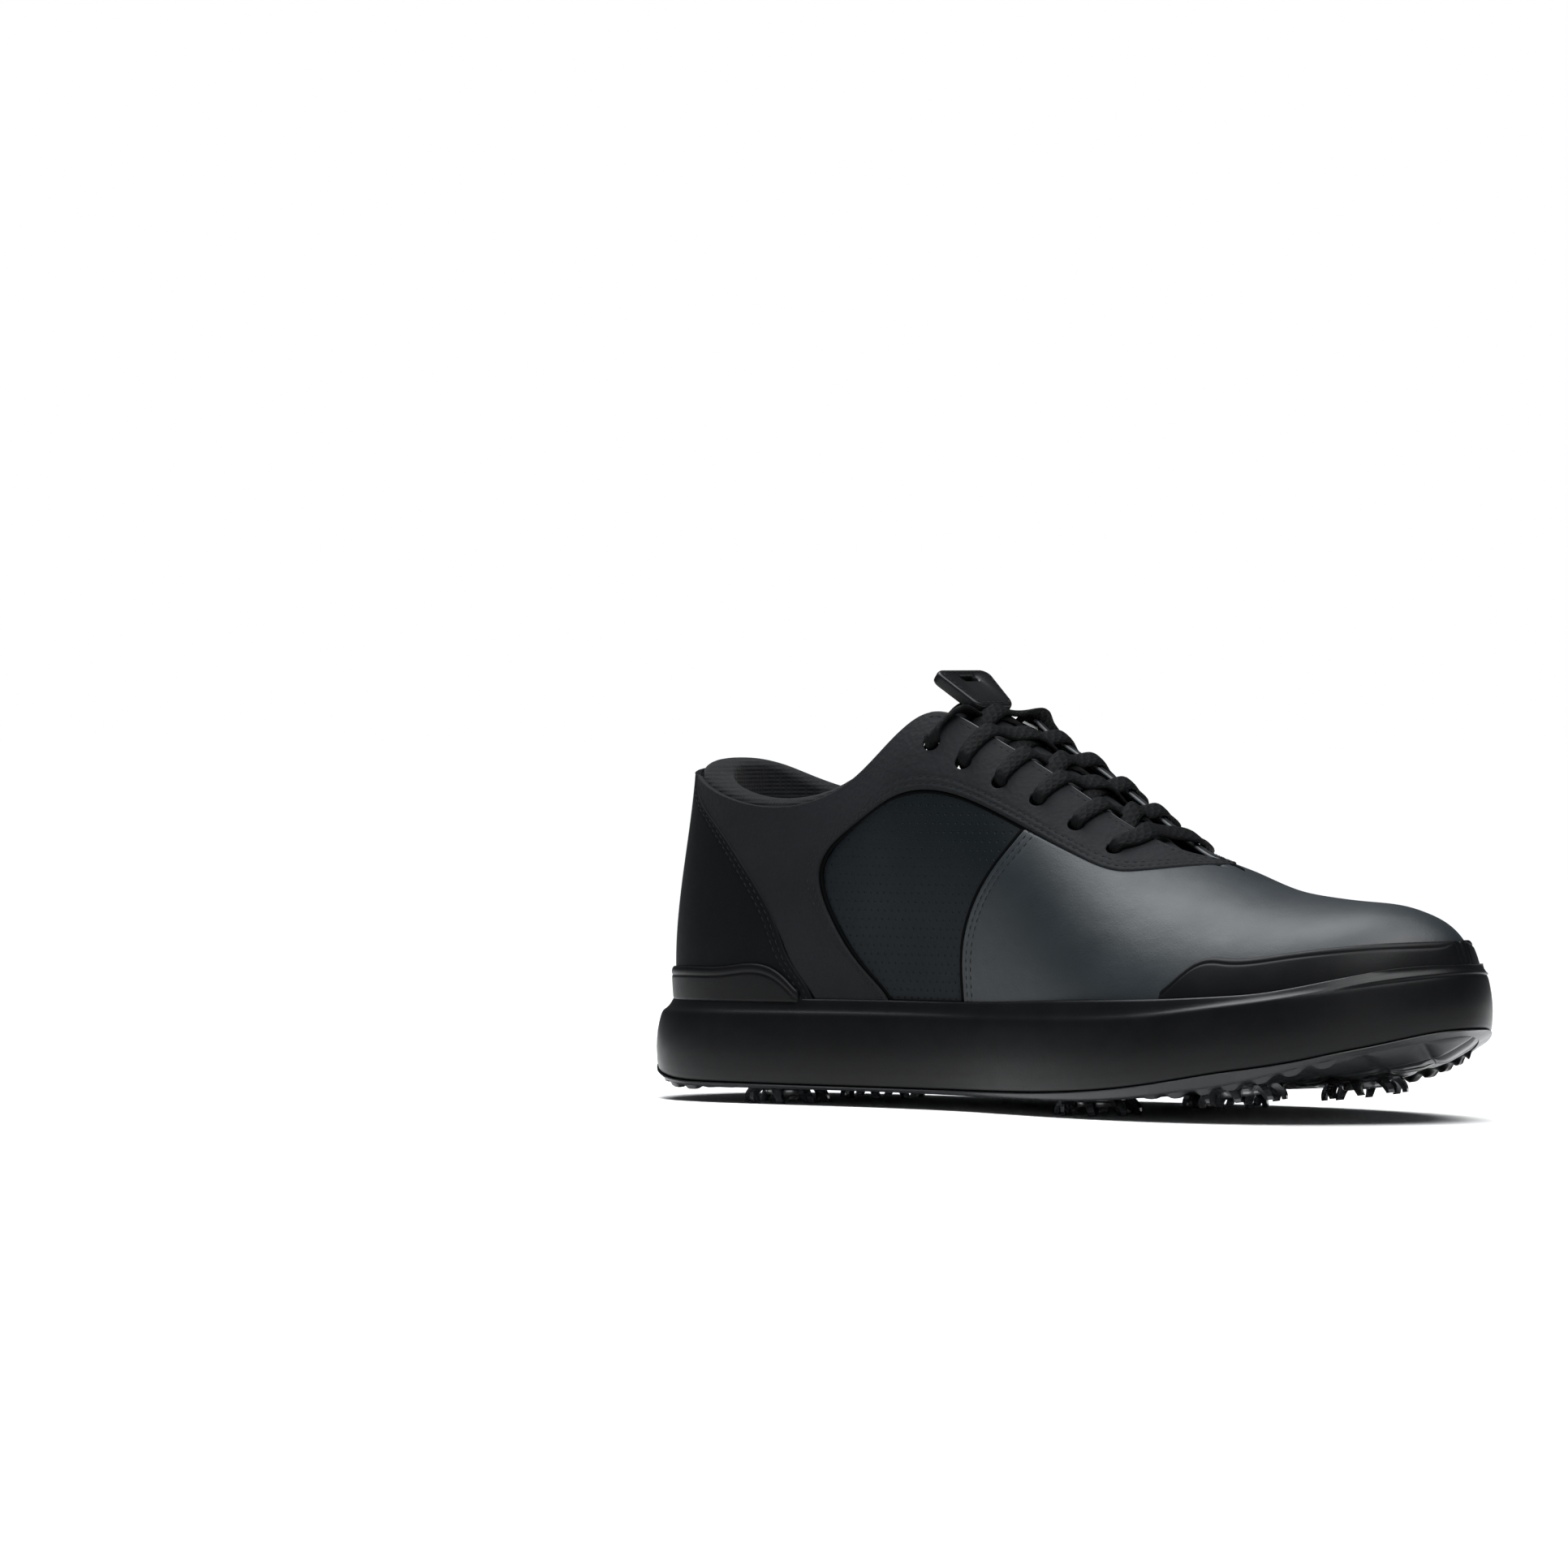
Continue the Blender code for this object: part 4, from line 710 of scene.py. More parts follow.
# A near-black finish for the tubes along folded seams: partly the edge's own dark paint, partly painted shade
# in the seam's groove.
SEAM_PAINT_AND_SHADE = rubber("edge_paint_and_painted_light", (0.0004, 0.0005, 0.0006), (0.0007, 0.0008, 0.0009), 0.7, specular=0.03)
# A light grey finish for the tubes along the throat's edges: a painted glint where light catches the facing's
# edge.
THROAT_GLINT = leather("throat_painted_glint", (0.055, 0.06, 0.063), (0.085, 0.09, 0.095), 0.6, specular=0.3)
LACE = braid("lace_braid", (0.0011, 0.0012, 0.0014), (0.0026, 0.0028, 0.0032))
LINING = textile("lining_mesh", (0.0035, 0.0037, 0.0042), (0.007, 0.0073, 0.008), pitch=1.6)
COLLAR_CLOTH = textile("collar_cloth", (0.004, 0.0042, 0.0048), (0.0075, 0.0078, 0.0088), pitch=1.2)
FOOTBED = textile("footbed_cloth", (0.005, 0.005, 0.0055), (0.012, 0.012, 0.013), pitch=1.4)
MIDSOLE_FOAM = rubber("midsole_foam", (0.0022, 0.0023, 0.0026), (0.0032, 0.0034, 0.0038), 0.34, specular=0.14)
GUARD_RUBBER = rubber("guard_rubber", (0.0016, 0.0017, 0.002), (0.0026, 0.0027, 0.0032), 0.42, specular=0.1)
OUTSOLE_TPU = rubber("outsole_tpu", (0.0075, 0.0082, 0.009), (0.0125, 0.0135, 0.0148), 0.34, specular=0.3)
PANEL_GLOSS = plastic("panel_gloss", (0.002, 0.0024, 0.0028), (0.0035, 0.004, 0.0045), 0.14)
INSERT_TPU = rubber("insert_tpu", (0.03, 0.032, 0.036), (0.042, 0.045, 0.05), 0.4)
TAG_BLUE = plastic("tag_blue", (0.028, 0.055, 0.082), (0.04, 0.072, 0.105), 0.35)
SPIKE_CLEAR = plastic("spike_clear", (0.05, 0.052, 0.056), (0.085, 0.088, 0.093), 0.14, transmission=0.55)
SPIKE_HUB = plastic("spike_hub", (0.16, 0.165, 0.17), (0.3, 0.305, 0.31), 0.25, metallic=0.55)
HIDDEN_BOARD = textile("board_fibre", (0.3, 0.28, 0.24), (0.45, 0.42, 0.37), pitch=2.0)
HIDDEN_STIFF = rubber("stiffener", (0.12, 0.115, 0.1), (0.2, 0.19, 0.17), 0.8)
HIDDEN_NYLON = plastic("nylon", (0.02, 0.02, 0.02), (0.035, 0.035, 0.035), 0.4)
AGLET = plastic("aglet_plastic", (0.006, 0.006, 0.006), (0.012, 0.012, 0.012), 0.2)


# ---------------------------------------------------------------- leather panels
QUARTER_LIFT, VAMP_LIFT, FACING_LIFT, COUNTER_LIFT = -0.7, 0.0, 0.55, 1.0
FACING_SHARES = np.linspace(0, 1, 300)
THROAT = FACING_SHARES > 0.5


def quarter_grid(side):
    """The panel framed by the facing and the vamp, which both overlap it."""
    left = seam(FACING_SEAM, UNDERLAP, side, end_at=JOIN_X + 1)
    right = seam(VAMP_SEAM, -UNDERLAP, side)
    bottom = polyline(np.array([left(0.0), right(0.0)]))
    top = polyline(np.array([left(1.0), right(1.0)]))
    return patch(left, right, bottom, top, spread(85, 50)[:, None], np.linspace(0, 1, 120)[None])


def vamp_grid(side):
    """From the seam behind the vamp to the toe, its top first along the facing and then along the ridge."""
    facing = seam(FACING_SEAM, UNDERLAP, side)
    fine = np.linspace(0, 1, 600)
    join = fine[np.flatnonzero((facing(fine)[:, 0] > JOIN_X) & (fine > 0.5))[0]]
    split, foot_x = 0.42, VAMP_SEAM[0][0]

    def forward(s):
        turn = np.clip((s - split) / (1 - split), 0, 1)
        return SEAM_FRONT + (TOE - SEAM_FRONT) * np.sin(turn * np.pi / 2)

    def top(s):
        back = facing(join + (1 - join) * np.clip(s / split, 0, 1))
        ahead = np.stack([forward(s), np.ones_like(s)], -1)
        return np.where((s < split)[..., None], back, ahead)

    def bottom(s):
        x = np.where(s < split, foot_x + (SEAM_FRONT - foot_x) * s / split, forward(s))
        return np.stack([x, np.zeros_like(x)], -1)

    left = seam(VAMP_SEAM, 0, side)
    right = polyline(np.array([(TOE, 0), (TOE, 1)]))
    s = spread(190, 150, high_edge=False)
    by_facing = smooth(s, split + 0.04, split - 0.03)[:, None]
    fine_top = spread(90, 62, low_edge=False)
    even = np.linspace(0, 1, len(fine_top))
    grid = patch(left, right, bottom, top, s[:, None], even * (1 - by_facing) + fine_top * by_facing)
    grid[-1, :, 0] = TOE
    grid[s >= split, -1, 1] = 1
    return grid


def facing_grid(side):
    """A ribbon from the sole beside the heel counter, up to the collar and along the throat."""
    inner = seam(FACING_SEAM, 0, side)
    counter = seam(COUNTER_SEAM, UNDERLAP, side)
    fine = np.linspace(0, 1, 600)
    back = fine[inner(fine)[:, 0].argmin()]
    peak = fine[np.flatnonzero(inner(fine)[:, 0] > COLLAR_PEAK)[0]]
    keys = [0, 0.26, 0.5, 1]
    collar_start = counter(1.0)[0]
    inner_edge = inner(np.interp(FACING_SHARES, keys, [0, back, peak, 1]))
    rise = counter(np.clip(FACING_SHARES / keys[1], 0, 1))
    along = np.interp(FACING_SHARES, keys[1:], [collar_start, 112, THROAT_FRONT])
    top_line = np.stack([along, np.ones_like(along)], -1)
    outer_edge = np.where((FACING_SHARES < keys[1])[:, None], rise, top_line)
    t = spread(26, 16)[None, :, None]
    grid = (1 - t) * inner_edge[:, None] + t * outer_edge[:, None]
    grid[-1, :, 1] = 1
    return grid


def counter_grid(side):
    """From the middle of the heel to the counter's curved seam."""
    right = seam(COUNTER_SEAM, 0, side)
    left = polyline(np.array([(HEEL, 0), (HEEL, 1)]))

    def edge(end, w):
        return lambda s: np.stack([HEEL + (end - HEEL) * s**1.7, np.full_like(s, w)], -1)

    s = spread(60, 44, low_edge=False)[:, None]
    t = spread(75, 50, low_edge=False)[None]
    grid = patch(left, right, edge(right(0.0)[0], 0), edge(right(1.0)[0], 1), s, t)
    grid[0, :, 0] = HEEL
    grid[:, -1, 1] = 1
    return grid


def relax(keep, rounds=40):
    """Evens out the outer points where keep(points) is above 0, to take a crease out of a join."""
    def ease(points, faces):
        pairs = np.array([(a, b) for face in faces for a, b in zip(face, face[1:] + face[:1])])
        directed = set(map(tuple, pairs.tolist()))
        border = np.zeros(len(points), bool)
        border[[end for a, b in directed if (b, a) not in directed for end in (a, b)]] = True
        weight = keep(points) * ~border
        for _ in range(rounds):
            total, count = np.zeros_like(points), np.zeros(len(points))
            np.add.at(total, pairs[:, 0], points[pairs[:, 1]])
            np.add.at(count, pairs[:, 0], 1)
            mean = total / np.maximum(count, 1)[:, None]
            points = points + (mean - points) * (0.5 * weight)[:, None]
        return points

    return ease


def near_ridge(points):
    x = points[:, 0]
    ridge = smooth(TOP_Z(x) - points[:, 2], 16, 4) * smooth(x, 209, 222)
    return np.maximum(ridge, smooth(x, TOE - 14, TOE - 4))


EYELETS = [(117.7, 0.86), (128.7, 0.833), (141.6, 0.833), (154.2, 0.853), (167.5, 0.856), (181, 0.853)]
EYELET_RADIUS = 2.5


def eyelet_cutters(work):
    """Short rods square to the leather, one through each eyelet."""
    for side in SIDE_NAMES:
        for x, w in EYELETS:
            turn = Vector(face_normal(np.array(x), np.array(w), side)).to_track_quat("Z", "Y")
            where = Matrix.Translation(Vector(place(skin(x, w, side, -FACING_LIFT))))
            bmesh.ops.create_cone(work, cap_ends=True, segments=24, radius1=EYELET_RADIUS * MM,
                                  radius2=EYELET_RADIUS * MM, depth=8 * MM,
                                  matrix=where @ turn.to_matrix().to_4x4())


def edge_line(block, edge, sink=0.2, out=0.55):
    """A line along one edge of a panel, a little outside it."""
    outer, inner = block[0], block[1]
    if edge.endswith("column"):
        outer, inner = outer.transpose(1, 0, 2), inner.transpose(1, 0, 2)
    if edge.startswith("last"):
        outer, inner = outer[::-1], inner[::-1]
    return outer[0] + unit(inner[0] - outer[0]) * sink + unit(inner[0] - inner[4]) * out


def edge_paint_and_painted_light(name, line, look, radius=0.78):
    """A thin tube along an edge: along a seam a dark line of edge paint and painted shade, along the throat a
    painted glint.
    """
    run = run_along(line)
    stops = np.linspace(0.4, run[-1] - 0.4, int(run[-1] / 1.2))
    tube(name, read_at(stops, run, line), radius, look)


def sewn_panel(kind, name, grid_of, block_of, edge, look, replaces, ease=None, last_line=None):
    """A leather panel of two halves, with stitches beside its folded edge and a dark line along it of edge
    paint and painted seam shade.
    """
    grids = [grid_of(side) for side in SIDE_NAMES]
    made = [block_of(grid, side) for grid, side in zip(grids, SIDE_NAMES)]
    lines = []
    for block, distance in made:
        lines += [line_at(block, distance[edge], edge, row) for row in STITCH_ROWS]
        if last_line is not None:
            lines.append(last_line(block, distance))
    blocks = [block for block, _ in made]
    merge_halves(blocks, grids)
    panel = shell(name, blocks, look, replaces, ease=ease)
    stitches(f"{kind}_stitching", lines)
    for block, side_name in zip(blocks, SIDE_NAMES.values()):
        # The dark tube along the folded edge is partly edge paint, partly painted seam shade.
        edge_paint_and_painted_light(f"{kind}_edge_{side_name}", edge_line(block, edge), SEAM_PAINT_AND_SHADE)
    return panel, blocks


def make_upper():
    def vamp_block(grid, side):
        under_facing = smooth(grid[..., 0], THROAT_FRONT + 4, THROAT_FRONT - 6)
        return panel_block(grid, side, VAMP_LIFT, {"first_row": True}, down=0.75,
                           sunk=[("last_column", under_facing)])

    def facing_block(grid, side):
        by_counter = smooth(FACING_SHARES, 0.27, 0.25)[:, None]
        return panel_block(grid, side, FACING_LIFT, {"first_column": True, "last_column": False}, down=1.25,
                           sunk=[("last_column", by_counter)])

    def throat_line(block, distance):
        part = [values[THROAT] if k < 2 else values for k, values in enumerate(block)]
        return line_at(part, distance["last_column"][THROAT], "last_column", 2.4)

    def counter_block(grid, side):
        return panel_block(grid, side, COUNTER_LIFT, {"last_row": True, "last_column": False}, down=1.5)

    sewn_panel("vamp", "vamp_leather_panel", vamp_grid, vamp_block, "first_row", VAMP_LEATHER,
               ["vamp"], ease=relax(near_ridge))
    for side, name in SIDE_NAMES.items():
        block, _ = panel_block(quarter_grid(side), side, QUARTER_LIFT, {},
                               sunk=[("first_row", 1), ("last_row", 1)])
        shell(f"quarter_leather_{name}", [block], QUARTER_LEATHER, [f"quarter_{name}"],
              ease=relax(lambda points: np.ones(len(points)), 8))
    facing, blocks = sewn_panel("facing", "facing_leather_panel", facing_grid, facing_block, "first_column",
                                FACING_LEATHER, ["facing_medial", "facing_lateral"],
                                last_line=throat_line)
    for block, name in zip(blocks, SIDE_NAMES.values()):
        # A light tube along each throat edge: a painted glint where light catches the facing's edge.
        line = edge_line(block, "last_column", -0.1, 0.1)[THROAT]
        edge_paint_and_painted_light(f"throat_edge_{name}", line, THROAT_GLINT, 0.5)
    subtract(facing, eyelet_cutters)
    sewn_panel("counter", "heel_counter_leather", counter_grid, counter_block, "last_row", SHADED_COUNTER_LEATHER,
               ["heel_counter"])


# ---------------------------------------------------------------- collar
COLLAR_END = 108.0
COLLAR_DEPTH, COLLAR_THICK, COLLAR_CROWN, COLLAR_TOP = 1.3, 9.2, 3.1, 0.985


def collar_section(x, side):
    """A closed section of the padded collar: up under the leather, over the top and down inside."""
    fade = 1 - smooth(x, 88, COLLAR_END) * 0.72
    thick = COLLAR_THICK * fade
    low = 0.63 + 0.1 * smooth(x, 80, COLLAR_END)
    points = [skin(x, w, side, COLLAR_DEPTH) for w in np.linspace(low, COLLAR_TOP, 9)]
    crown = skin(x, 1.0, side, COLLAR_DEPTH + thick / 2)
    rise = unit(skin(x, 1.0, side, 2) - skin(x, 0.96, side, 2))
    inward = -face_normal(np.array(x), np.array(COLLAR_TOP), side)
    points += [crown + inward * np.cos(turn) * thick / 2 + rise * np.sin(turn) * COLLAR_CROWN * fade
               for turn in np.linspace(np.pi * 0.93, 0, 11)]
    for t in np.linspace(0.06, 1, 12):
        swell = (1 + 0.2 * np.sin(np.pi * min(t * 1.25, 1))) * (1 - 0.62 * smooth(t, 0.55, 1))
        points.append(skin(x, COLLAR_TOP + (low - COLLAR_TOP) * t, side, COLLAR_DEPTH + thick * swell))
    return np.array(points)


def make_collar():
    reach = HEEL + (COLLAR_END - HEEL) * np.linspace(0, 1, 44)**1.5
    medial, lateral = (np.array([collar_section(x, side) for x in reach]) for side in SIDE_NAMES)
    medial[0] = lateral[0] = (medial[0] + lateral[0]) / 2
    sections = np.concatenate([medial[::-1], lateral[1:]])
    for _ in range(3):
        sections[1:-1] = (sections[:-2] + 2 * sections[1:-1] + sections[2:]) / 4
    collar = new_object("padded_collar", place(sections.reshape(-1, 3)),
                        tube_faces(*sections.shape[:2], flip=True), COLLAR_CLOTH,
                        replaces=["collar_foam", "collar_lining"])


# ---------------------------------------------------------------- tongue
TONGUE_DEPTH = 6.8
TONGUE_Z = spline([(118, 118), (127, 112.6), (139, 105.5), (152, 98.5), (164, 91.7), (171, 87.7),
                   (181, 82.1), (191, 76.9), (198, 73.6), (203.5, 71.2)])
TONGUE_SHARE = spline([(118, 0.93), (127, 0.87), (140, 0.83), (165, 0.8), (190, 0.82), (203.5, 0.9)])
TONGUE_AXIS = np.array([-0.805, 0, 0.593])
TONGUE_NORMAL = np.array([0.593, 0, 0.805])
TONGUE_FRONT, TONGUE_BACK = 203.5, 118.0
TONGUE_THICK, TONGUE_REACH, TONGUE_ROLL, TONGUE_SEAM = 7.2, 6.2, 4.2, 6.5
TAB_HALF_LENGTH, TAB_TAPER = 9, 0.2


def cap_point(x, v, lift):
    """A point over the tongue between the throat's edges, v from -1 at the inner side to 1 at the outer."""
    x, v, lift = np.broadcast_arrays(*(np.asarray(value, float) for value in (x, v, lift)))
    near, far = (skin(x, 1, side, TONGUE_DEPTH - lift) for side in SIDE_NAMES)
    point = near + (far - near) * ((v + 1) / 2)[..., None]
    crown = TONGUE_Z(x) + lift - (near[..., 2] + far[..., 2]) / 2
    point[..., 2] += crown * (1 - v * v)
    return point


def tongue_rows(depth):
    """The tongue's surface at a depth below its outer face, from its free end to the throat's front."""
    made = []
    for x in np.linspace(TONGUE_BACK, TONGUE_FRONT, 90):
        low = TONGUE_SHARE(x)
        shares = low + (1 - low) * np.linspace(0, 1, 10)[:-1]
        medial, lateral = (skin(x, shares, side, TONGUE_DEPTH + depth) for side in SIDE_NAMES)
        across = cap_point(x, np.linspace(-1, 1, 27), -depth)
        made.append(np.concatenate([medial, across, lateral[::-1]]))
    centre, free = made[0][:, 1].mean(), []
    for share in np.linspace(1, 0, 13)[:-1]:
        row = made[0] + TONGUE_AXIS * TONGUE_REACH * share
        row[:, 1] = centre + (row[:, 1] - centre) * (0.7 + 0.3 * np.sqrt(max(1 - share**2, 0)))
        free.append(row)
    return np.array(free + made)


def make_tongue():
    outer, inner = tongue_rows(0), tongue_rows(TONGUE_THICK)
    through = unit(outer - inner)
    along, across, uv = arcs(outer)
    edge = np.minimum(np.minimum(along, along[-1:] - along), np.minimum(across, across[:, -1:] - across))
    rounding = (1 - roll(edge, TONGUE_ROLL))[..., None] * TONGUE_THICK * 0.44
    seam_line = groove(edge, (TONGUE_SEAM,), 0.9, 0.8)[..., None]
    swell = (0.5 * smooth(edge, 7, 14))[..., None]
    outer, inner = outer - through * (rounding + seam_line - swell), inner + through * rounding
    tongue = shell("padded_tongue", [[outer, inner, MEDIAL, uv]], FACING_LEATHER,
                   ["tongue", "tongue_foam", "tongue_lining"])
    middle = np.array([TONGUE_BACK, float(RIDGE_Y(TONGUE_BACK)), float(TONGUE_Z(TONGUE_BACK))])
    centre = middle + np.array([-5.6, 0, 4.6])
    tab_ring(centre, np.array([-TONGUE_AXIS, [0, 1, 0], TONGUE_NORMAL]))


def rounded_box(half_x, half_y, radius, count=48):
    """A rounded rectangle's outline, its points spread by angle."""
    turn = np.linspace(0, 2 * np.pi, count, endpoint=False)
    way = np.stack([np.cos(turn), np.sin(turn)], -1)
    return np.copysign([half_x - radius, half_y - radius], way) + radius * way


def tab_ring(centre, basis):
    """The tongue's pull tab: a thick, slightly tapered leather tab with a slot."""
    outline = rounded_box(TAB_HALF_LENGTH, 10.6, 3.4)
    slot_line = rounded_box(1.5, 3.8, 1.4) + np.array([-4.6, 0])
    outline[:, 1] *= 1 - TAB_TAPER * outline[:, 0] / TAB_HALF_LENGTH
    half, rings = 1.9, []
    for line, rim, level, turns in ((slot_line, 0.5, -1, (np.pi / 2, 0, 5)),
                                    (slot_line, 0.5, 1, (0, np.pi / 2, 5)),
                                    (outline, 1.0, 1, (np.pi / 2, 0, 6)),
                                    (outline, 1.0, -1, (0, np.pi / 2, 6))):
        direction = unit(line - line.mean(0))
        for turn in np.linspace(*turns):
            shrink = rim * (1 - math.cos(turn)) if line is outline else -rim * math.sin(turn)
            height = level * (half - rim + rim * math.sin(turn))
            rings.append(np.c_[line - direction * shrink, np.full(len(line), height)])
    count = len(outline)
    points = centre + np.concatenate(rings) @ basis
    faces = [tuple(face) for face in grid_faces(len(rings), count, wrap=True, flip=True)]
    last = (len(rings) - 1) * count
    faces += [(i, (i + 1) % count, last + (i + 1) % count, last + i) for i in range(count)]
    new_object("pull_tab", place(points), faces, TAB_LEATHER, replaces=["tongue_tab"])
    line = rounded_box(7.6, 9.2, 2.6, 200)
    line[:, 1] *= 1 - TAB_TAPER * line[:, 0] / TAB_HALF_LENGTH
    path = centre + np.c_[line, np.full(len(line), half + 0.02)] @ basis
    path = np.concatenate([path, path[:1]])
    stitches("tab_stitching", [(path, np.tile(basis[2], (len(path), 1)))], 1.5, 0.7, 0.2)


# ---------------------------------------------------------------- lace
LACE_UNDER, LACE_OVER, LACE_TOP, LACE_IN_EYELET = 4.95, -1.55, -1.45, 1.4
LACE_TAIL = [(110, 19.5, 92), (103, 20, 80), (96, 21, 62), (94, 21, 46), (101, 20.5, 34.5), (115, 21, 30.6),
             (133, 22.5, 29), (150, 24, 27.8), (166, 25, 27)]


def lace_route():
    """Rows of the lace's middle line with half its width and half its thickness there."""
    def strand(side, level):
        rows = []
        for (x, w), (next_x, next_w) in zip(EYELETS[:0:-1], EYELETS[-2::-1]):
            middle = (x + next_x) / 2
            rows += [(skin(x + 0.3, w + 0.012, side, LACE_TOP), 2.2, 1.1),
                     (skin(x, w, side, LACE_IN_EYELET), 2.0, 1.25),
                     (skin(x - 0.6, w + 0.01, side, LACE_UNDER), 2.2, 1.0),
                     (skin(x - 1.6, (w + 1) / 2, side, LACE_UNDER), 2.7, 0.85),
                     (skin(x - 3, 1, side, LACE_UNDER - 0.4), 2.9, 0.85),
                     (cap_point(middle + 1.6, side * 0.5, 1.2 + level * 0.8), 3.0, 0.85),
                     (cap_point(middle, 0, 1.1 + level * 1.8), 3.1, 0.85),
                     (cap_point(middle - 1.9, -side * 0.5, 1.7 + level * 0.8), 3.1, 0.85),
                     (skin(next_x + 2.2, 1, -side, LACE_OVER), 2.8, 0.9),
                     (skin(next_x + 0.9, (next_w + 1) / 2, -side, LACE_OVER), 2.5, 0.95)]
            side = -side
        x, w = EYELETS[0]
        rows += [(skin(x + 0.3, w + 0.012, side, LACE_TOP), 2.5, 1.1),
                 (skin(x, w, side, LACE_IN_EYELET), 2.0, 1.25), (skin(x, w, side, 6), 2.0, 1.2)]
        return rows + [((x, side * y + float(RIDGE_Y(120.0)), z), 1.6, 1.1) for x, y, z in LACE_TAIL]

    front, share = EYELETS[-1]
    medial, lateral = ([(skin(front + 2.4, (share + 1) / 2, side, LACE_OVER), 2.9, 0.9),
                        (skin(front + 3.6, 1, side, LACE_OVER), 3.2, 0.85)] for side in SIDE_NAMES)
    bar = [*medial, (cap_point(front + 4, 0, 2.0), 3.3, 0.85), *lateral[::-1]]
    return np.array([[*point, *half_sizes]
                     for point, *half_sizes in strand(MEDIAL, 1)[::-1] + bar + strand(LATERAL, 0)])


def make_lace():
    route = lace_route()
    chord = run_along(route[:, :3])
    stops = np.linspace(0, chord[-1], 1500)
    path = np.stack([spline(list(zip(chord, column)))(stops) for column in route[:, :3].T], -1)
    sizes = read_at(stops, chord, route[:, 3:])
    forward = unit(np.gradient(path, axis=0))
    inside = smooth(np.abs(stops - chord[-1] / 2), chord[-1] / 2 - 190, chord[-1] / 2 - 150)[:, None]
    wide = (-TONGUE_AXIS) * (1 - inside) + np.array([0.35, 0.2, 0.6]) * inside
    wide = unit(wide - forward * np.sum(wide * forward, -1)[:, None])
    for _ in range(6):
        wide[1:-1] = unit(wide[:-2] + wide[1:-1] + wide[2:])
    tube("lace_strand", path, 1, LACE, 14, ["lace"], sizes, wide)


# ---------------------------------------------------------------- linings and footbed
LINING_DEPTH, LINING_THICK, LINING_LOW = 3.9, 0.9, 0.02
QUARTER_LINING_END, VAMP_LINING_START = 204, 204.5


def lining_band(side, x, top):
    """The block and the grid of a lining under one side of the upper, from its foot up to top(x)."""
    x = x[:, None]
    w = LINING_LOW + (top(x) - LINING_LOW) * np.linspace(0, 1, 40)[None]
    x, w = np.broadcast_arrays(x, w)
    base = skin(x, w, side, LINING_DEPTH)
    uv = arcs(base)[2]
    return [base, skin(x, w, side, LINING_DEPTH + LINING_THICK), side, uv], np.stack([x, w], -1)


def joined(make):
    """The blocks that make(side) gives for both halves of a band, with their middles joined."""
    blocks, grids = zip(*(make(side) for side in SIDE_NAMES))
    merge_halves(blocks, grids)
    return blocks


def make_linings():
    quarter_x = HEEL + (QUARTER_LINING_END - HEEL) * np.linspace(0, 1, 120)**1.5
    vamp_x = VAMP_LINING_START + (TOE - VAMP_LINING_START) * np.sin(np.linspace(0, 1, 70) * np.pi / 2)
    shell("quarter_lining", joined(lambda side: lining_band(
        side, quarter_x, lambda x: 0.63 + 0.14 * smooth(x, 106, 124))), LINING,
        ["heel_lining", "quarter_lining_medial", "quarter_lining_lateral"])
    shell("vamp_lining_cloth", joined(lambda side: lining_band(side, vamp_x, np.ones_like)), LINING,
          ["vamp_lining"], ease=relax(near_ridge, 20))
    rings = [ring_round(FEATHER, depth, lambda x, up=up: FLOOR_Z(x) + up, 120) for depth, up in (
        (6.6, 2.6), (6.1, 3.0), (6.0, 4.2), (6.2, 5.6), (6.9, 6.5), (8.0, 6.9))]
    footbed = loft("footbed", rings, FOOTBED, ["sockliner"], across=40,
                   high=lambda x, y, z: z + 0.5 * smooth(np.abs(y), 20, 34) * smooth(x, 160, 60))


# ---------------------------------------------------------------- the sole
def ring_round(loop, depth, height, count=220):
    """Points round an outline, moved in by a depth or depth(x) and lifted to height(x)."""
    stations = loop.stations(count)
    rows = []
    for side in SIDE_NAMES:
        foot, normal = loop.at(stations, side)
        in_by = depth(stations) if callable(depth) else depth
        foot = foot - normal * np.broadcast_to(in_by, count)[:, None]
        rows.append(np.c_[foot, height(foot[:, 0])])
    return np.concatenate([rows[0], rows[1][-2:0:-1]])


def skin_ring(height, depth, count=220):
    """Points round the upper at a height, under its outer face by depth."""
    stations = FEATHER.stations(count)
    rows = [skin(stations, height_on(stations, height(stations), side), side, depth) for side in SIDE_NAMES]
    return np.concatenate([rows[0], rows[1][-2:0:-1]])


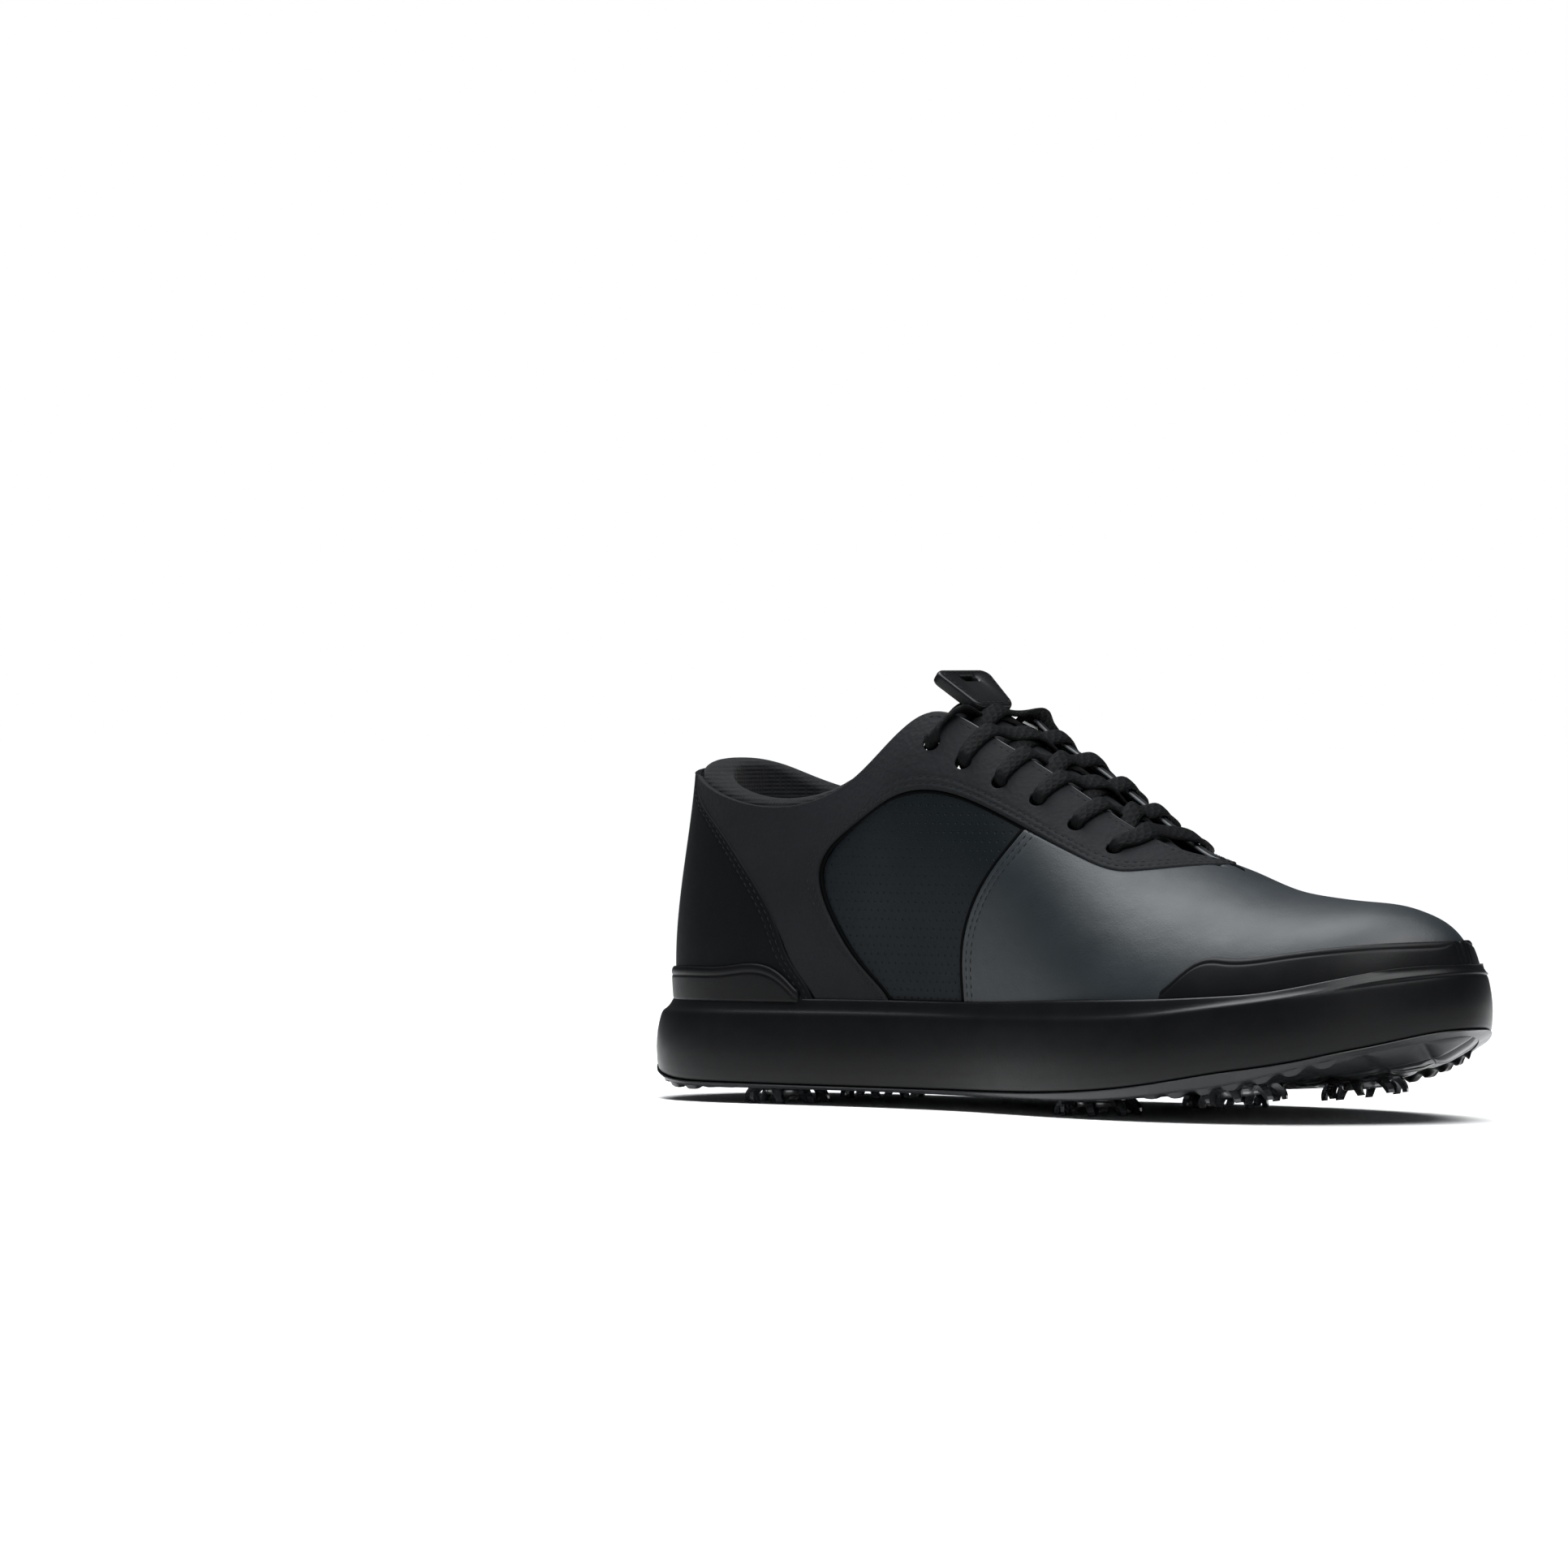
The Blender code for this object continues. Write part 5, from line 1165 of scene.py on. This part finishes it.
def loft(name, rings, look, replaces=(), across=30, low=None, high=None):
    """A closed solid from rings round the shoe; its ends are grids shaped by low and high (x, y, z)."""
    count = len(rings[0])
    points = [np.concatenate(rings)]
    faces = [tuple(face) for face in grid_faces(len(rings), count, wrap=True)]
    total, half = len(points[0]), count // 2
    for base, ring, field in ((0, rings[0], low), ((len(rings) - 1) * count, rings[-1], high)):
        near, far = np.arange(half + 1), (count - np.arange(half + 1)) % count
        t = np.linspace(0, 1, across + 1)[None, :, None]
        grid = ring[near][:, None] * (1 - t) + ring[far][:, None] * t
        if field is not None:
            grid[..., 2] = field(grid[..., 0], grid[..., 1], grid[..., 2])
        index = total + np.arange((half + 1) * (across + 1)).reshape(half + 1, across + 1)
        points.append(grid.reshape(-1, 3))
        total += grid.size // 3
        index[:, 0], index[:, -1] = base + near, base + far
        index[0], index[half] = base, base + half
        quads = np.stack([index[:-1, :-1], index[1:, :-1], index[1:, 1:], index[:-1, 1:]], -1)
        faces += clean_faces(quads.reshape(-1, 4))
    points = np.concatenate(points)
    used = np.unique(np.concatenate([np.array(face) for face in faces]))
    renumber = np.zeros(len(points), int)
    renumber[used] = np.arange(len(used))
    faces, points = [tuple(renumber[list(face)]) for face in faces], points[used]
    return new_object(name, place(points), faces, look, uv=points[:, :2] * UV_SCALE,
                      replaces=replaces)


SPIKES = {
    "heel_medial": (57, -21), "heel_lateral": (57, 24),
    "ball_medial": (179, -25.6), "ball_lateral": (178, 36.5),
    "toe_medial": (239, -35), "toe_lateral": (240, 21.6),
}
TOE_TILT, FLAT_SOLE_Z, TOE_SPRING_X = 7.4, 4.7, 220
PANEL = [(171, -42), (145, -3.5), (106, 4.5), (75, -30.5), (90, -32), (110, -31.5), (138, -34.3),
         (158, -39.5)]
INSERT = [(98, 41), (104, 34.5), (128, 36), (137, 45)]
TAG_CENTRE, TAG_LENGTH, TAG_WIDTH = (75, 4.5), 34, 7
INLAY_DEPTH, INLAY_GAP, TAG_RECESS_GAP = 1.6, 0.35, 1.6
PLATE, LIP = 3.6, 1.6
OUTLINE_STEP, BORDER, POCKET_RIM, TOOTH_PITCH = 0.8, 6.3, 15.9, 9.6
SHANK_X, SHANK_HALF_LENGTH, SHANK_HALF_WIDTH, SHANK_DEPTH, WELL_DEPTH = 117, 53, 11, 3.0, 4.9
SOCKET_PROFILE = [(13.2, -4.0), (13.2, 1.7), (9.15, 1.7), (9.15, 7.55)]


def rounded(corners, radius, steps=8):
    """A polygon with its corners rounded."""
    corners = np.asarray(corners, float)
    made = []
    for before, corner, after in zip(np.roll(corners, 1, 0), corners, np.roll(corners, -1, 0)):
        start, end = (corner + unit(way) * min(radius, np.linalg.norm(way) * 0.45)
                      for way in (before - corner, after - corner))
        for t in np.linspace(0, 1, steps + 1):
            made.append((1 - t)**2 * start + 2 * t * (1 - t) * corner + t * t * end)
    return np.array(made)


def grown(outline, distance):
    """The outline moved outward all round."""
    area = np.sum(outline[:, 0] * np.roll(outline[:, 1], -1) - np.roll(outline[:, 0], -1) * outline[:, 1])
    return inset(outline, np.full(len(outline), -distance if area > 0 else distance))


def tag_outline(extra):
    half_x, half_y = TAG_LENGTH / 2 + extra, TAG_WIDTH / 2 + extra
    x, y = TAG_CENTRE
    return rounded([(x + i * half_x, y + j * half_y) for i, j in ((-1, -1), (1, -1), (1, 1), (-1, 1))], 2)


RECESSES = [grown(rounded(PANEL, 5), INLAY_GAP), grown(rounded(INSERT, 2.5), INLAY_GAP),
            tag_outline(TAG_RECESS_GAP)]


def spike_frame(x, y):
    """The frame of a spike: z into the shoe, the origin in the sole's lower face."""
    tilt = math.radians(TOE_TILT) if x > TOE_SPRING_X else 0
    where = place((x, y, FLAT_SOLE_Z if x < TOE_SPRING_X else float(BOTTOM_Z(x))))
    return Matrix.Translation(Vector(where)) @ Matrix.Rotation(-tilt, 4, "Y")


def nearest(points, line):
    """Each point's distance from a closed line, and the number of the line's nearest point."""
    flat = points.reshape(-1, 2)
    distance, index = np.empty(len(flat)), np.empty(len(flat), int)
    for start in range(0, len(flat), 4000):
        gap = np.linalg.norm(flat[start:start + 4000, None] - line[None], axis=-1)
        index[start:start + 4000] = gap.argmin(1)
        distance[start:start + 4000] = gap.min(1)
    return distance.reshape(points.shape[:-1]), index.reshape(points.shape[:-1])


def resample(line):
    """A closed line read at even steps."""
    line = np.vstack([line, line[:1]])
    run = run_along(line)
    return read_at(np.arange(0, run[-1], OUTLINE_STEP), run, line)


def to_line(value):
    """The distance from the nearest whole number."""
    return np.abs(value - np.round(value))


def tucked(depth, toe=3.5, heel=0.0):
    """A depth under the outline that grows towards the tip of the toe and the back of the heel."""
    return lambda x: depth + heel * smooth(x, 60, 4) + toe * smooth(x, 262, 300)


def between(low, high, share):
    """A height at a share of the way from low(x) to high(x)."""
    return lambda x: low(x) + (high(x) - low(x)) * share


def rim_z(x):
    """The height of the tread's outer edge, which curls up at the toe and the heel."""
    rise = 4.6 * smooth(x, 240, 292) + 1.4 * smooth(x, 26, 4)
    return BOTTOM_Z(x) + np.minimum(rise, np.maximum(PART_Z(x) - BOTTOM_Z(x) - LIP, 0))


def tread(x, y, _):
    """The sole's lower face: quilted pillows inside a smooth border with teeth at the toe and heel."""
    points = np.stack([x, y], -1)
    edge, index = nearest(points, resample(SOLE_CURVE))
    run = index * OUTLINE_STEP
    # Two slanted sets of lines with pillows between them, each pillow a step higher at one side.
    pitch, angle = 13.5, math.radians(34)
    bend = y * y / 2600
    u = (x * math.cos(angle) + y * math.sin(angle)) / pitch + bend + 0.3 * np.sin(x / 60)
    v = (x * math.cos(angle + 0.35) - y * math.sin(angle + 0.35)) / pitch - bend
    pillow = np.clip(np.minimum(to_line(u), to_line(v)) * pitch / 4.6, 0, 1)
    share = u - np.floor(u)
    up = 1.25 * (1 - pillow)**2.2 + 0.55 * share * smooth(share, 1.0, 0.85)
    # Sharper facets under the ball of the foot.
    third = to_line(y / 12 + x / 40) * 12
    facet = np.minimum(np.minimum(to_line(u * 1.15), to_line(v * 1.15)) * pitch / 1.15, third)
    sharp = 1.6 * (1 - np.clip(facet / 3.2, 0, 1))
    share = smooth(x, 160, 176) * smooth(x, 262, 246) * smooth(y, 16, 6)
    up = up * (1 - share) + sharp * share
    # A plain border, and rims round it and round the spikes' pockets.
    radii = [np.hypot(x - x0, y - y0) for x0, y0 in SPIKES.values()]
    clear = smooth(edge, 6.2, 7.4)
    for radius in radii:
        clear = clear * smooth(radius, 15.6, 16.8)
    for recess in RECESSES:
        clear = clear * smooth(nearest(points, resample(recess))[0], 1.6, 2.8)
    up = up * clear + 1.2 * np.exp(-((edge - BORDER) / 0.95)**2)
    for radius in radii:
        up = up * smooth(radius, 14.4, 15.6) + 0.7 * np.exp(-((radius - POCKET_RIM) / 0.9)**2)
    # Teeth in the border at the toe and the heel.
    ends = np.maximum(smooth(x, 212, 228), 0.7 * smooth(x, 44, 30))
    tooth = np.clip(1 - np.abs(run / TOOTH_PITCH % 1 - 0.5) * 2.6, 0, 1)
    up = up - 1.5 * ends * np.minimum(tooth * 1.5, 1) * smooth(edge, 0.9, 2) * smooth(edge, 5.9, 4.4)
    curl = (rim_z(x) - BOTTOM_Z(x)) * smooth(edge, 20, 2.5)
    return BOTTOM_Z(x) + curl + 0.15 * smooth(edge, 3, 1) + np.minimum(up, 1.7)


def sole_cutters(work):
    """The spikes' pockets, each with its socket's hole above, and the inlays' recesses."""
    turn = np.linspace(0, math.tau, 64, endpoint=False)
    for x, y in SPIKES.values():
        where = spike_frame(x, y)
        fill_rings(work, [[where @ Vector((radius * math.cos(t) * MM, radius * math.sin(t) * MM, height * MM))
                           for t in turn] for radius, height in SOCKET_PROFILE])
    for outline in RECESSES:
        fill_rings(work, [[place((x, y, float(BOTTOM_Z(x)) + up)) for x, y in outline]
                          for up in (-3, INLAY_DEPTH)])


def fill_rings(work, rings):
    """A closed solid through rings of points."""
    rings = [[work.verts.new(point) for point in ring] for ring in rings]
    for low, high in zip(rings, rings[1:]):
        for corners in zip(low, low[1:] + low[:1], high[1:] + high[:1], high):
            work.faces.new(corners)
    work.faces.new(rings[0][::-1])
    work.faces.new(rings[-1])


def plate_top(x):
    """The height of the outsole's upper face."""
    return np.maximum(BOTTOM_Z(x) + PLATE, rim_z(x) + 2.3)


def lower_edge(x):
    """The height where the midsole meets the outsole's wall."""
    return np.maximum(PART_Z(x), BOTTOM_Z(x) + LIP)


def floor_low(x):
    """The height of the midsole's upper face, under the insole board."""
    return FLOOR_Z(x) - 0.35


FORWARD_SHOULDER = spline([(140, 27.4), (182, 28.4), (205, 29.3), (220, 30.5), (245, 33.8), (260, 35.9),
                           (277, 38.9), (290, 41.4), (LENGTH, 44.1)])


def shoulder(x):
    """The height of the midsole's shoulder, where its wall turns in under the band."""
    share = smooth(x, 110, 150)
    return (WALL_Z(x) - 4.4) * (1 - share) + FORWARD_SHOULDER(x) * share


def wells(x, y, z):
    """The midsole's lower end, hollowed over each spike's socket."""
    for x0, y0 in SPIKES.values():
        z = z + WELL_DEPTH * smooth(np.hypot(x - x0, y - y0), 12.4, 9.9)
    return z


def shank_slot(x, y, _):
    """The midsole's upper end, with a slot for the shank."""
    inside = (np.abs(x - SHANK_X) < SHANK_HALF_LENGTH) & (np.abs(y) < SHANK_HALF_WIDTH)
    return floor_low(x) - SHANK_DEPTH * inside


def make_sole():
    rings = [(1.9, 5.5, lambda x: rim_z(x) + 0.15),
             (1.0, 5, lambda x: np.minimum(rim_z(x) + 0.5, PART_Z(x) - 0.8)),
             (0.45, 4.2, lambda x: np.minimum(rim_z(x) + 1, PART_Z(x) - 0.6)),
             (0.1, 3.5, lambda x: PART_Z(x) - 0.45), (0.35, 3.5, lambda x: PART_Z(x) - 0.15),
             (2.6, 3.5, lambda x: lower_edge(x) - 0.2), (6, 3.5, plate_top)]
    rings = [ring_round(SOLE, tucked(depth, toe), height, 400) for depth, toe, height in rings]
    outsole = loft("tread_plate", rings, OUTSOLE_TPU, ["outsole"], across=150, low=tread)
    subtract(outsole, sole_cutters, CREASE)

    rings = [ring_round(SOLE, tucked(6.4), lambda x: plate_top(x) + 0.55),
             ring_round(SOLE, tucked(2.7), lambda x: lower_edge(x) + 0.2)]
    for share, depth, heel in ((0.0, 1.2, 0), (0.02, 0.6, 0), (0.08, 0.25, 0), (0.2, 0.1, 0), (0.35, 0, 0),
                               (0.5, 0.1, 0.0), (0.65, 0.35, 0.0), (0.8, 0.75, 0.1), (0.9, 1.1, 0.2),
                               (0.96, 1.4, 0.3), (1.0, 1.75, 0.4)):
        rings.append(ring_round(SOLE, tucked(depth, 3.4, heel), between(PART_Z, shoulder, share)))
    for share, depth, heel in ((0.12, 2.3, 0.6), (0.3, 2.9, 0.9), (0.6, 3.5, 1.2), (0.85, 3.9, 1.4),
                               (0.97, 4.2, 1.5), (1.0, 4.6, 1.5)):
        rings.append(ring_round(
            SOLE, lambda x, depth=tucked(depth, 2.4, heel): np.minimum(depth(x), FEATHER_INSET(x) - 0.4),
            between(shoulder, WALL_Z, share)))
    rings += [skin_ring(between(floor_low, lambda x: WALL_Z(x) - 0.1, share), -0.35)
              for share in (1, 0.8, 0.6, 0.4, 0.2, 0)]
    rings.append(ring_round(FEATHER, 3, floor_low))
    loft("midsole_foam", rings, MIDSOLE_FOAM, ["midsole"], across=80, low=wells,
         high=shank_slot)


def trim_block(x, top, side, proud, sink, end):
    """One half of a moulded band round the upper, its edges rounded and its first or last end closed."""
    t = spread(12, 10)[None]
    low, high = (height_on(x, height, side)[:, None] for height in (WALL_Z(x) - 1.2, top(x)))
    x, w = np.broadcast_arrays(x[:, None], low + (high - low) * t)
    along, across, uv = arcs(skin(x, w, side, 0))
    below_top = across[:, -1:] - across
    from_end = along if end == "first" else along[-1:] - along
    distance = np.minimum(np.minimum(across, below_top * 0.55), from_end * 0.7 + 0.02)
    proud = proud - 0.7 * smooth(x, 282, 297)
    lift = proud - (1 - roll(distance)) * (proud - sink - 0.25)
    lift = lift - 0.22 * np.exp(-((below_top - 2.6) / 0.35)**2)
    return [skin(x, w, side, -lift), skin(x, w, side, -sink), side, uv], np.stack([x, w], -1)


GUARD_START, FOXING_END = 219.3, 72


def make_trim():
    guard_x = GUARD_START + (TOE - GUARD_START) * np.sin(np.linspace(0, 1, 150)**0.9 * np.pi / 2)
    guard_top = spline([(219, 36.8), (222.5, 39.6), (229, 45.2), (240, 46.6), (257.6, 48.2), (281, 51.2),
                        (291, 52), (TOE, 52.2)])
    foxing_x = HEEL + (FOXING_END - HEEL) * np.linspace(0, 1, 90)**1.5
    foxing_top = spline([(HEEL, 39.6), (30, 40.3), (45, 40.8), (61, 41), (66, 38.6), (72.5, 33)])
    for name, x, top, proud, sink, end in (("toe_guard", guard_x, guard_top, 1.9, 0.15, "first"),
                                           ("heel_foxing", foxing_x, foxing_top, 2.3, 1.1, "last")):
        blocks = joined(lambda side: trim_block(x, top, side, proud, sink, end))
        shell(f"{name}_rubber", blocks, GUARD_RUBBER, [name])


# ---------------------------------------------------------------- spikes
def wheel(profile, steps, sections, arms, turned):
    """Points and faces of a turned ring, its profile a closed line of (r, z), with arms set round it that
    run through four-cornered sections; the first arm is turned by a share of the gap between two."""
    turn = np.linspace(0, 2 * np.pi, steps, endpoint=False)
    r, z = np.array(profile, float).T
    r, z = r[:, None], z[:, None]
    points = [np.stack([r * np.cos(turn), r * np.sin(turn), np.repeat(z, steps, 1)], -1).reshape(-1, 3)]
    count = len(points[0])
    faces = (grid_faces(len(profile) + 1, steps, flip=True, wrap=True) % count).tolist()
    arm = np.concatenate(sections)
    for k in range(arms):
        angle = math.tau * (k + turned) / arms
        c, s = math.cos(angle), math.sin(angle)
        points.append(arm @ np.array([[c, s, 0], [-s, c, 0], [0, 0, 1]]))
        faces += tube_faces(len(sections), 4, count, flip=True)
        count += len(arm)
    return np.concatenate(points), faces


def hub_mesh():
    """The spike's grey hub, a cup with ten ribs in its face and a post above."""
    axis = 0.05
    profile = [(axis, 5.9), (4.3, 5.9), (4.5, 5.7), (4.5, 4.6), (3.2, 4.4), (3.2, 1.4), (6.1, 1.2),
               (6.3, 0.9), (6.3, -1.5), (6.2, -2.1), (5.9, -2.35), (5.6, -2.1), (5.5, -1.2), (2.1, -1.1),
               (1.9, -1.9), (1.5, -2.4), (axis, -2.4)]
    ribs = [[[r, -0.32, -0.9], [r, 0.32, -0.9], [r, 0.24, z], [r, -0.24, z]]
            for r, z in ((1.7, -2.1), (3.6, -2.25), (5.7, -2.1))]
    return wheel(profile, 48, ribs, 10, 0)


def legs_mesh():
    """The spike's clear ring with eight hooked legs."""
    profile = [(6.6, 1.0), (6.8, 1.2), (9.1, 1.2), (9.4, 0.9), (9.4, -0.3), (9.0, -0.8), (7.0, -1.0),
               (6.6, -0.7)]
    claw = []
    for t in np.linspace(0, 1, 9):
        centre = np.array([8.2 + 4.1 * math.sin(t * 1.5) - 0.5 * t**4, 1.8 * t * t, 0.3 - 4.9 * t**1.7])
        deep = unit(np.array([math.cos(0.5 * (1 - t)), 0, 0.55 * (1 - t)])) * (1.2 - 0.5 * t)
        wide = np.array([0, 2.1 - 0.95 * t, 0])
        claw.append(np.array([centre - deep - wide, centre + deep - wide * 0.8, centre + deep + wide * 0.8,
                              centre - deep + wide]))
    return wheel(profile, 64, claw, 8, 0.5)


def make_spikes():
    for kind, shown, make, look, slot in (("core", "hub", hub_mesh, SPIKE_HUB, "spike_core"),
                                          ("legs", "claws", legs_mesh, SPIKE_CLEAR, "spike_tpu")):
        points, faces = make()
        mesh = None
        for name, (x, y) in SPIKES.items():
            if mesh is None:
                made = new_object(f"spike_{shown}_{name}", points * MM, faces, look, body=f"spike_{name}",
                                  smooth_faces=False)
                mesh = made.data
            else:
                made = add(f"spike_{shown}_{name}", mesh)
            made.matrix_world = spike_frame(x, y)
            bpy.context.view_layer.update()
            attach(made, f"spike_{name}")
            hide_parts(f"spike_{kind}_{name}")


def dress_nodes():
    """Materials for the pieces that stay as they are."""
    looks = {"waist_panel": PANEL_GLOSS, "lateral_insert": INSERT_TPU, "heel_tag": TAG_BLUE,
             "strobel_board": HIDDEN_BOARD, "toe_puff": HIDDEN_STIFF, "heel_stiffener": HIDDEN_STIFF}
    looks.update(dict.fromkeys(["shank", "eyelet_stay_medial", "eyelet_stay_lateral"]
                               + [f"socket_{name}" for name in SPIKES], HIDDEN_NYLON))
    looks.update(aglet_a=AGLET, aglet_b=AGLET)
    for name, look in looks.items():
        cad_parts[name].material_slots[0].material = look


# ---------------------------------------------------------------- build
make_upper()
make_linings()
make_collar()
make_tongue()
make_lace()
make_sole()
make_trim()
make_spikes()
dress_nodes()


# ---------------------------------------------------------------- floor, light and camera
floor_mesh = bpy.data.meshes.new("floor")
floor_mesh.from_pydata([(-8, -8, 0), (8, -8, 0), (8, 8, 0), (-8, 8, 0)], [], [(0, 1, 2, 3)])
floor_mesh.materials.append(nodes_of("floor_white", Base_Color=(0.9, 0.9, 0.9, 1), Roughness=0.9,
                                     Specular_IOR_Level=0.1)[0])
floor = add("floor", floor_mesh)

world = bpy.data.worlds.new("studio")
bpy.context.scene.world = world
world.use_nodes = True
tree = world.node_tree
tree.nodes.clear()
lit = node(tree, "ShaderNodeBackground", Color=(0.07, 0.076, 0.084, 1))
seen = node(tree, "ShaderNodeBackground", Color=(1, 1, 1, 1))
mix, rays = node(tree, "ShaderNodeMixShader"), node(tree, "ShaderNodeLightPath")
tree.links.new(rays.outputs["Is Camera Ray"], mix.inputs[0])
tree.links.new(lit.outputs[0], mix.inputs[1])
tree.links.new(seen.outputs[0], mix.inputs[2])
tree.links.new(mix.outputs[0], node(tree, "ShaderNodeOutputWorld").inputs["Surface"])


def face_along(made, direction):
    """Turns a light or a camera to look along a direction."""
    made.rotation_euler = direction.to_track_quat("-Z", "Y").to_euler()


def area_light(name, where, aim, size, power, colour=(1, 1, 1)):
    data = bpy.data.lights.new(name, "AREA")
    data.shape, data.size, data.size_y = "RECTANGLE", size[0], size[1]
    data.energy, data.color = power, colour
    made = add(name, data)
    made.location = where
    face_along(made, Vector(aim) - Vector(where))


sun_data = bpy.data.lights.new("overhead", "SUN")
sun_data.energy, sun_data.angle = 3.7, math.radians(50)
sun = add("overhead", sun_data)
sun.rotation_euler = (math.radians(10), math.radians(20), 0)
area_light("key", (0.5, -0.45, 0.95), (0.06, 0, 0.05), (0.7, 0.5), 6, (0.95, 0.98, 1.0))
area_light("top", (-0.3, 0.02, 0.84), (0.09, -0.02, 0.06), (0.5, 0.6), 8.6, (0.95, 0.98, 1.0))
area_light("toe_fill", (1.1, -0.9, 0.25), (0.08, 0, 0.04), (0.5, 0.5), 0.7)

AZIMUTH, ELEVATION, DISTANCE = math.radians(40), math.radians(0.8), 3.0
TARGET, MOVED_LEFT, MOVED_UP = Vector((-0.00275, 0.0013, 0)), 0.08565, 0.09569
back = Vector((math.sin(AZIMUTH) * math.cos(ELEVATION), -math.cos(AZIMUTH) * math.cos(ELEVATION),
               math.sin(ELEVATION)))
right = Vector((math.cos(AZIMUTH), math.sin(AZIMUTH), 0))
rise = Vector((-math.sin(AZIMUTH) * math.sin(ELEVATION), math.cos(AZIMUTH) * math.sin(ELEVATION),
               math.cos(ELEVATION)))
camera_data = bpy.data.cameras.new("camera")
camera_data.lens, camera_data.sensor_width, camera_data.clip_end = 233.67, 36, 50
camera = add("camera", camera_data)
camera.location = TARGET + back * DISTANCE - right * MOVED_LEFT + rise * MOVED_UP
face_along(camera, -back)
bpy.context.scene.camera = camera
bpy.context.scene.view_settings.view_transform = "Standard"
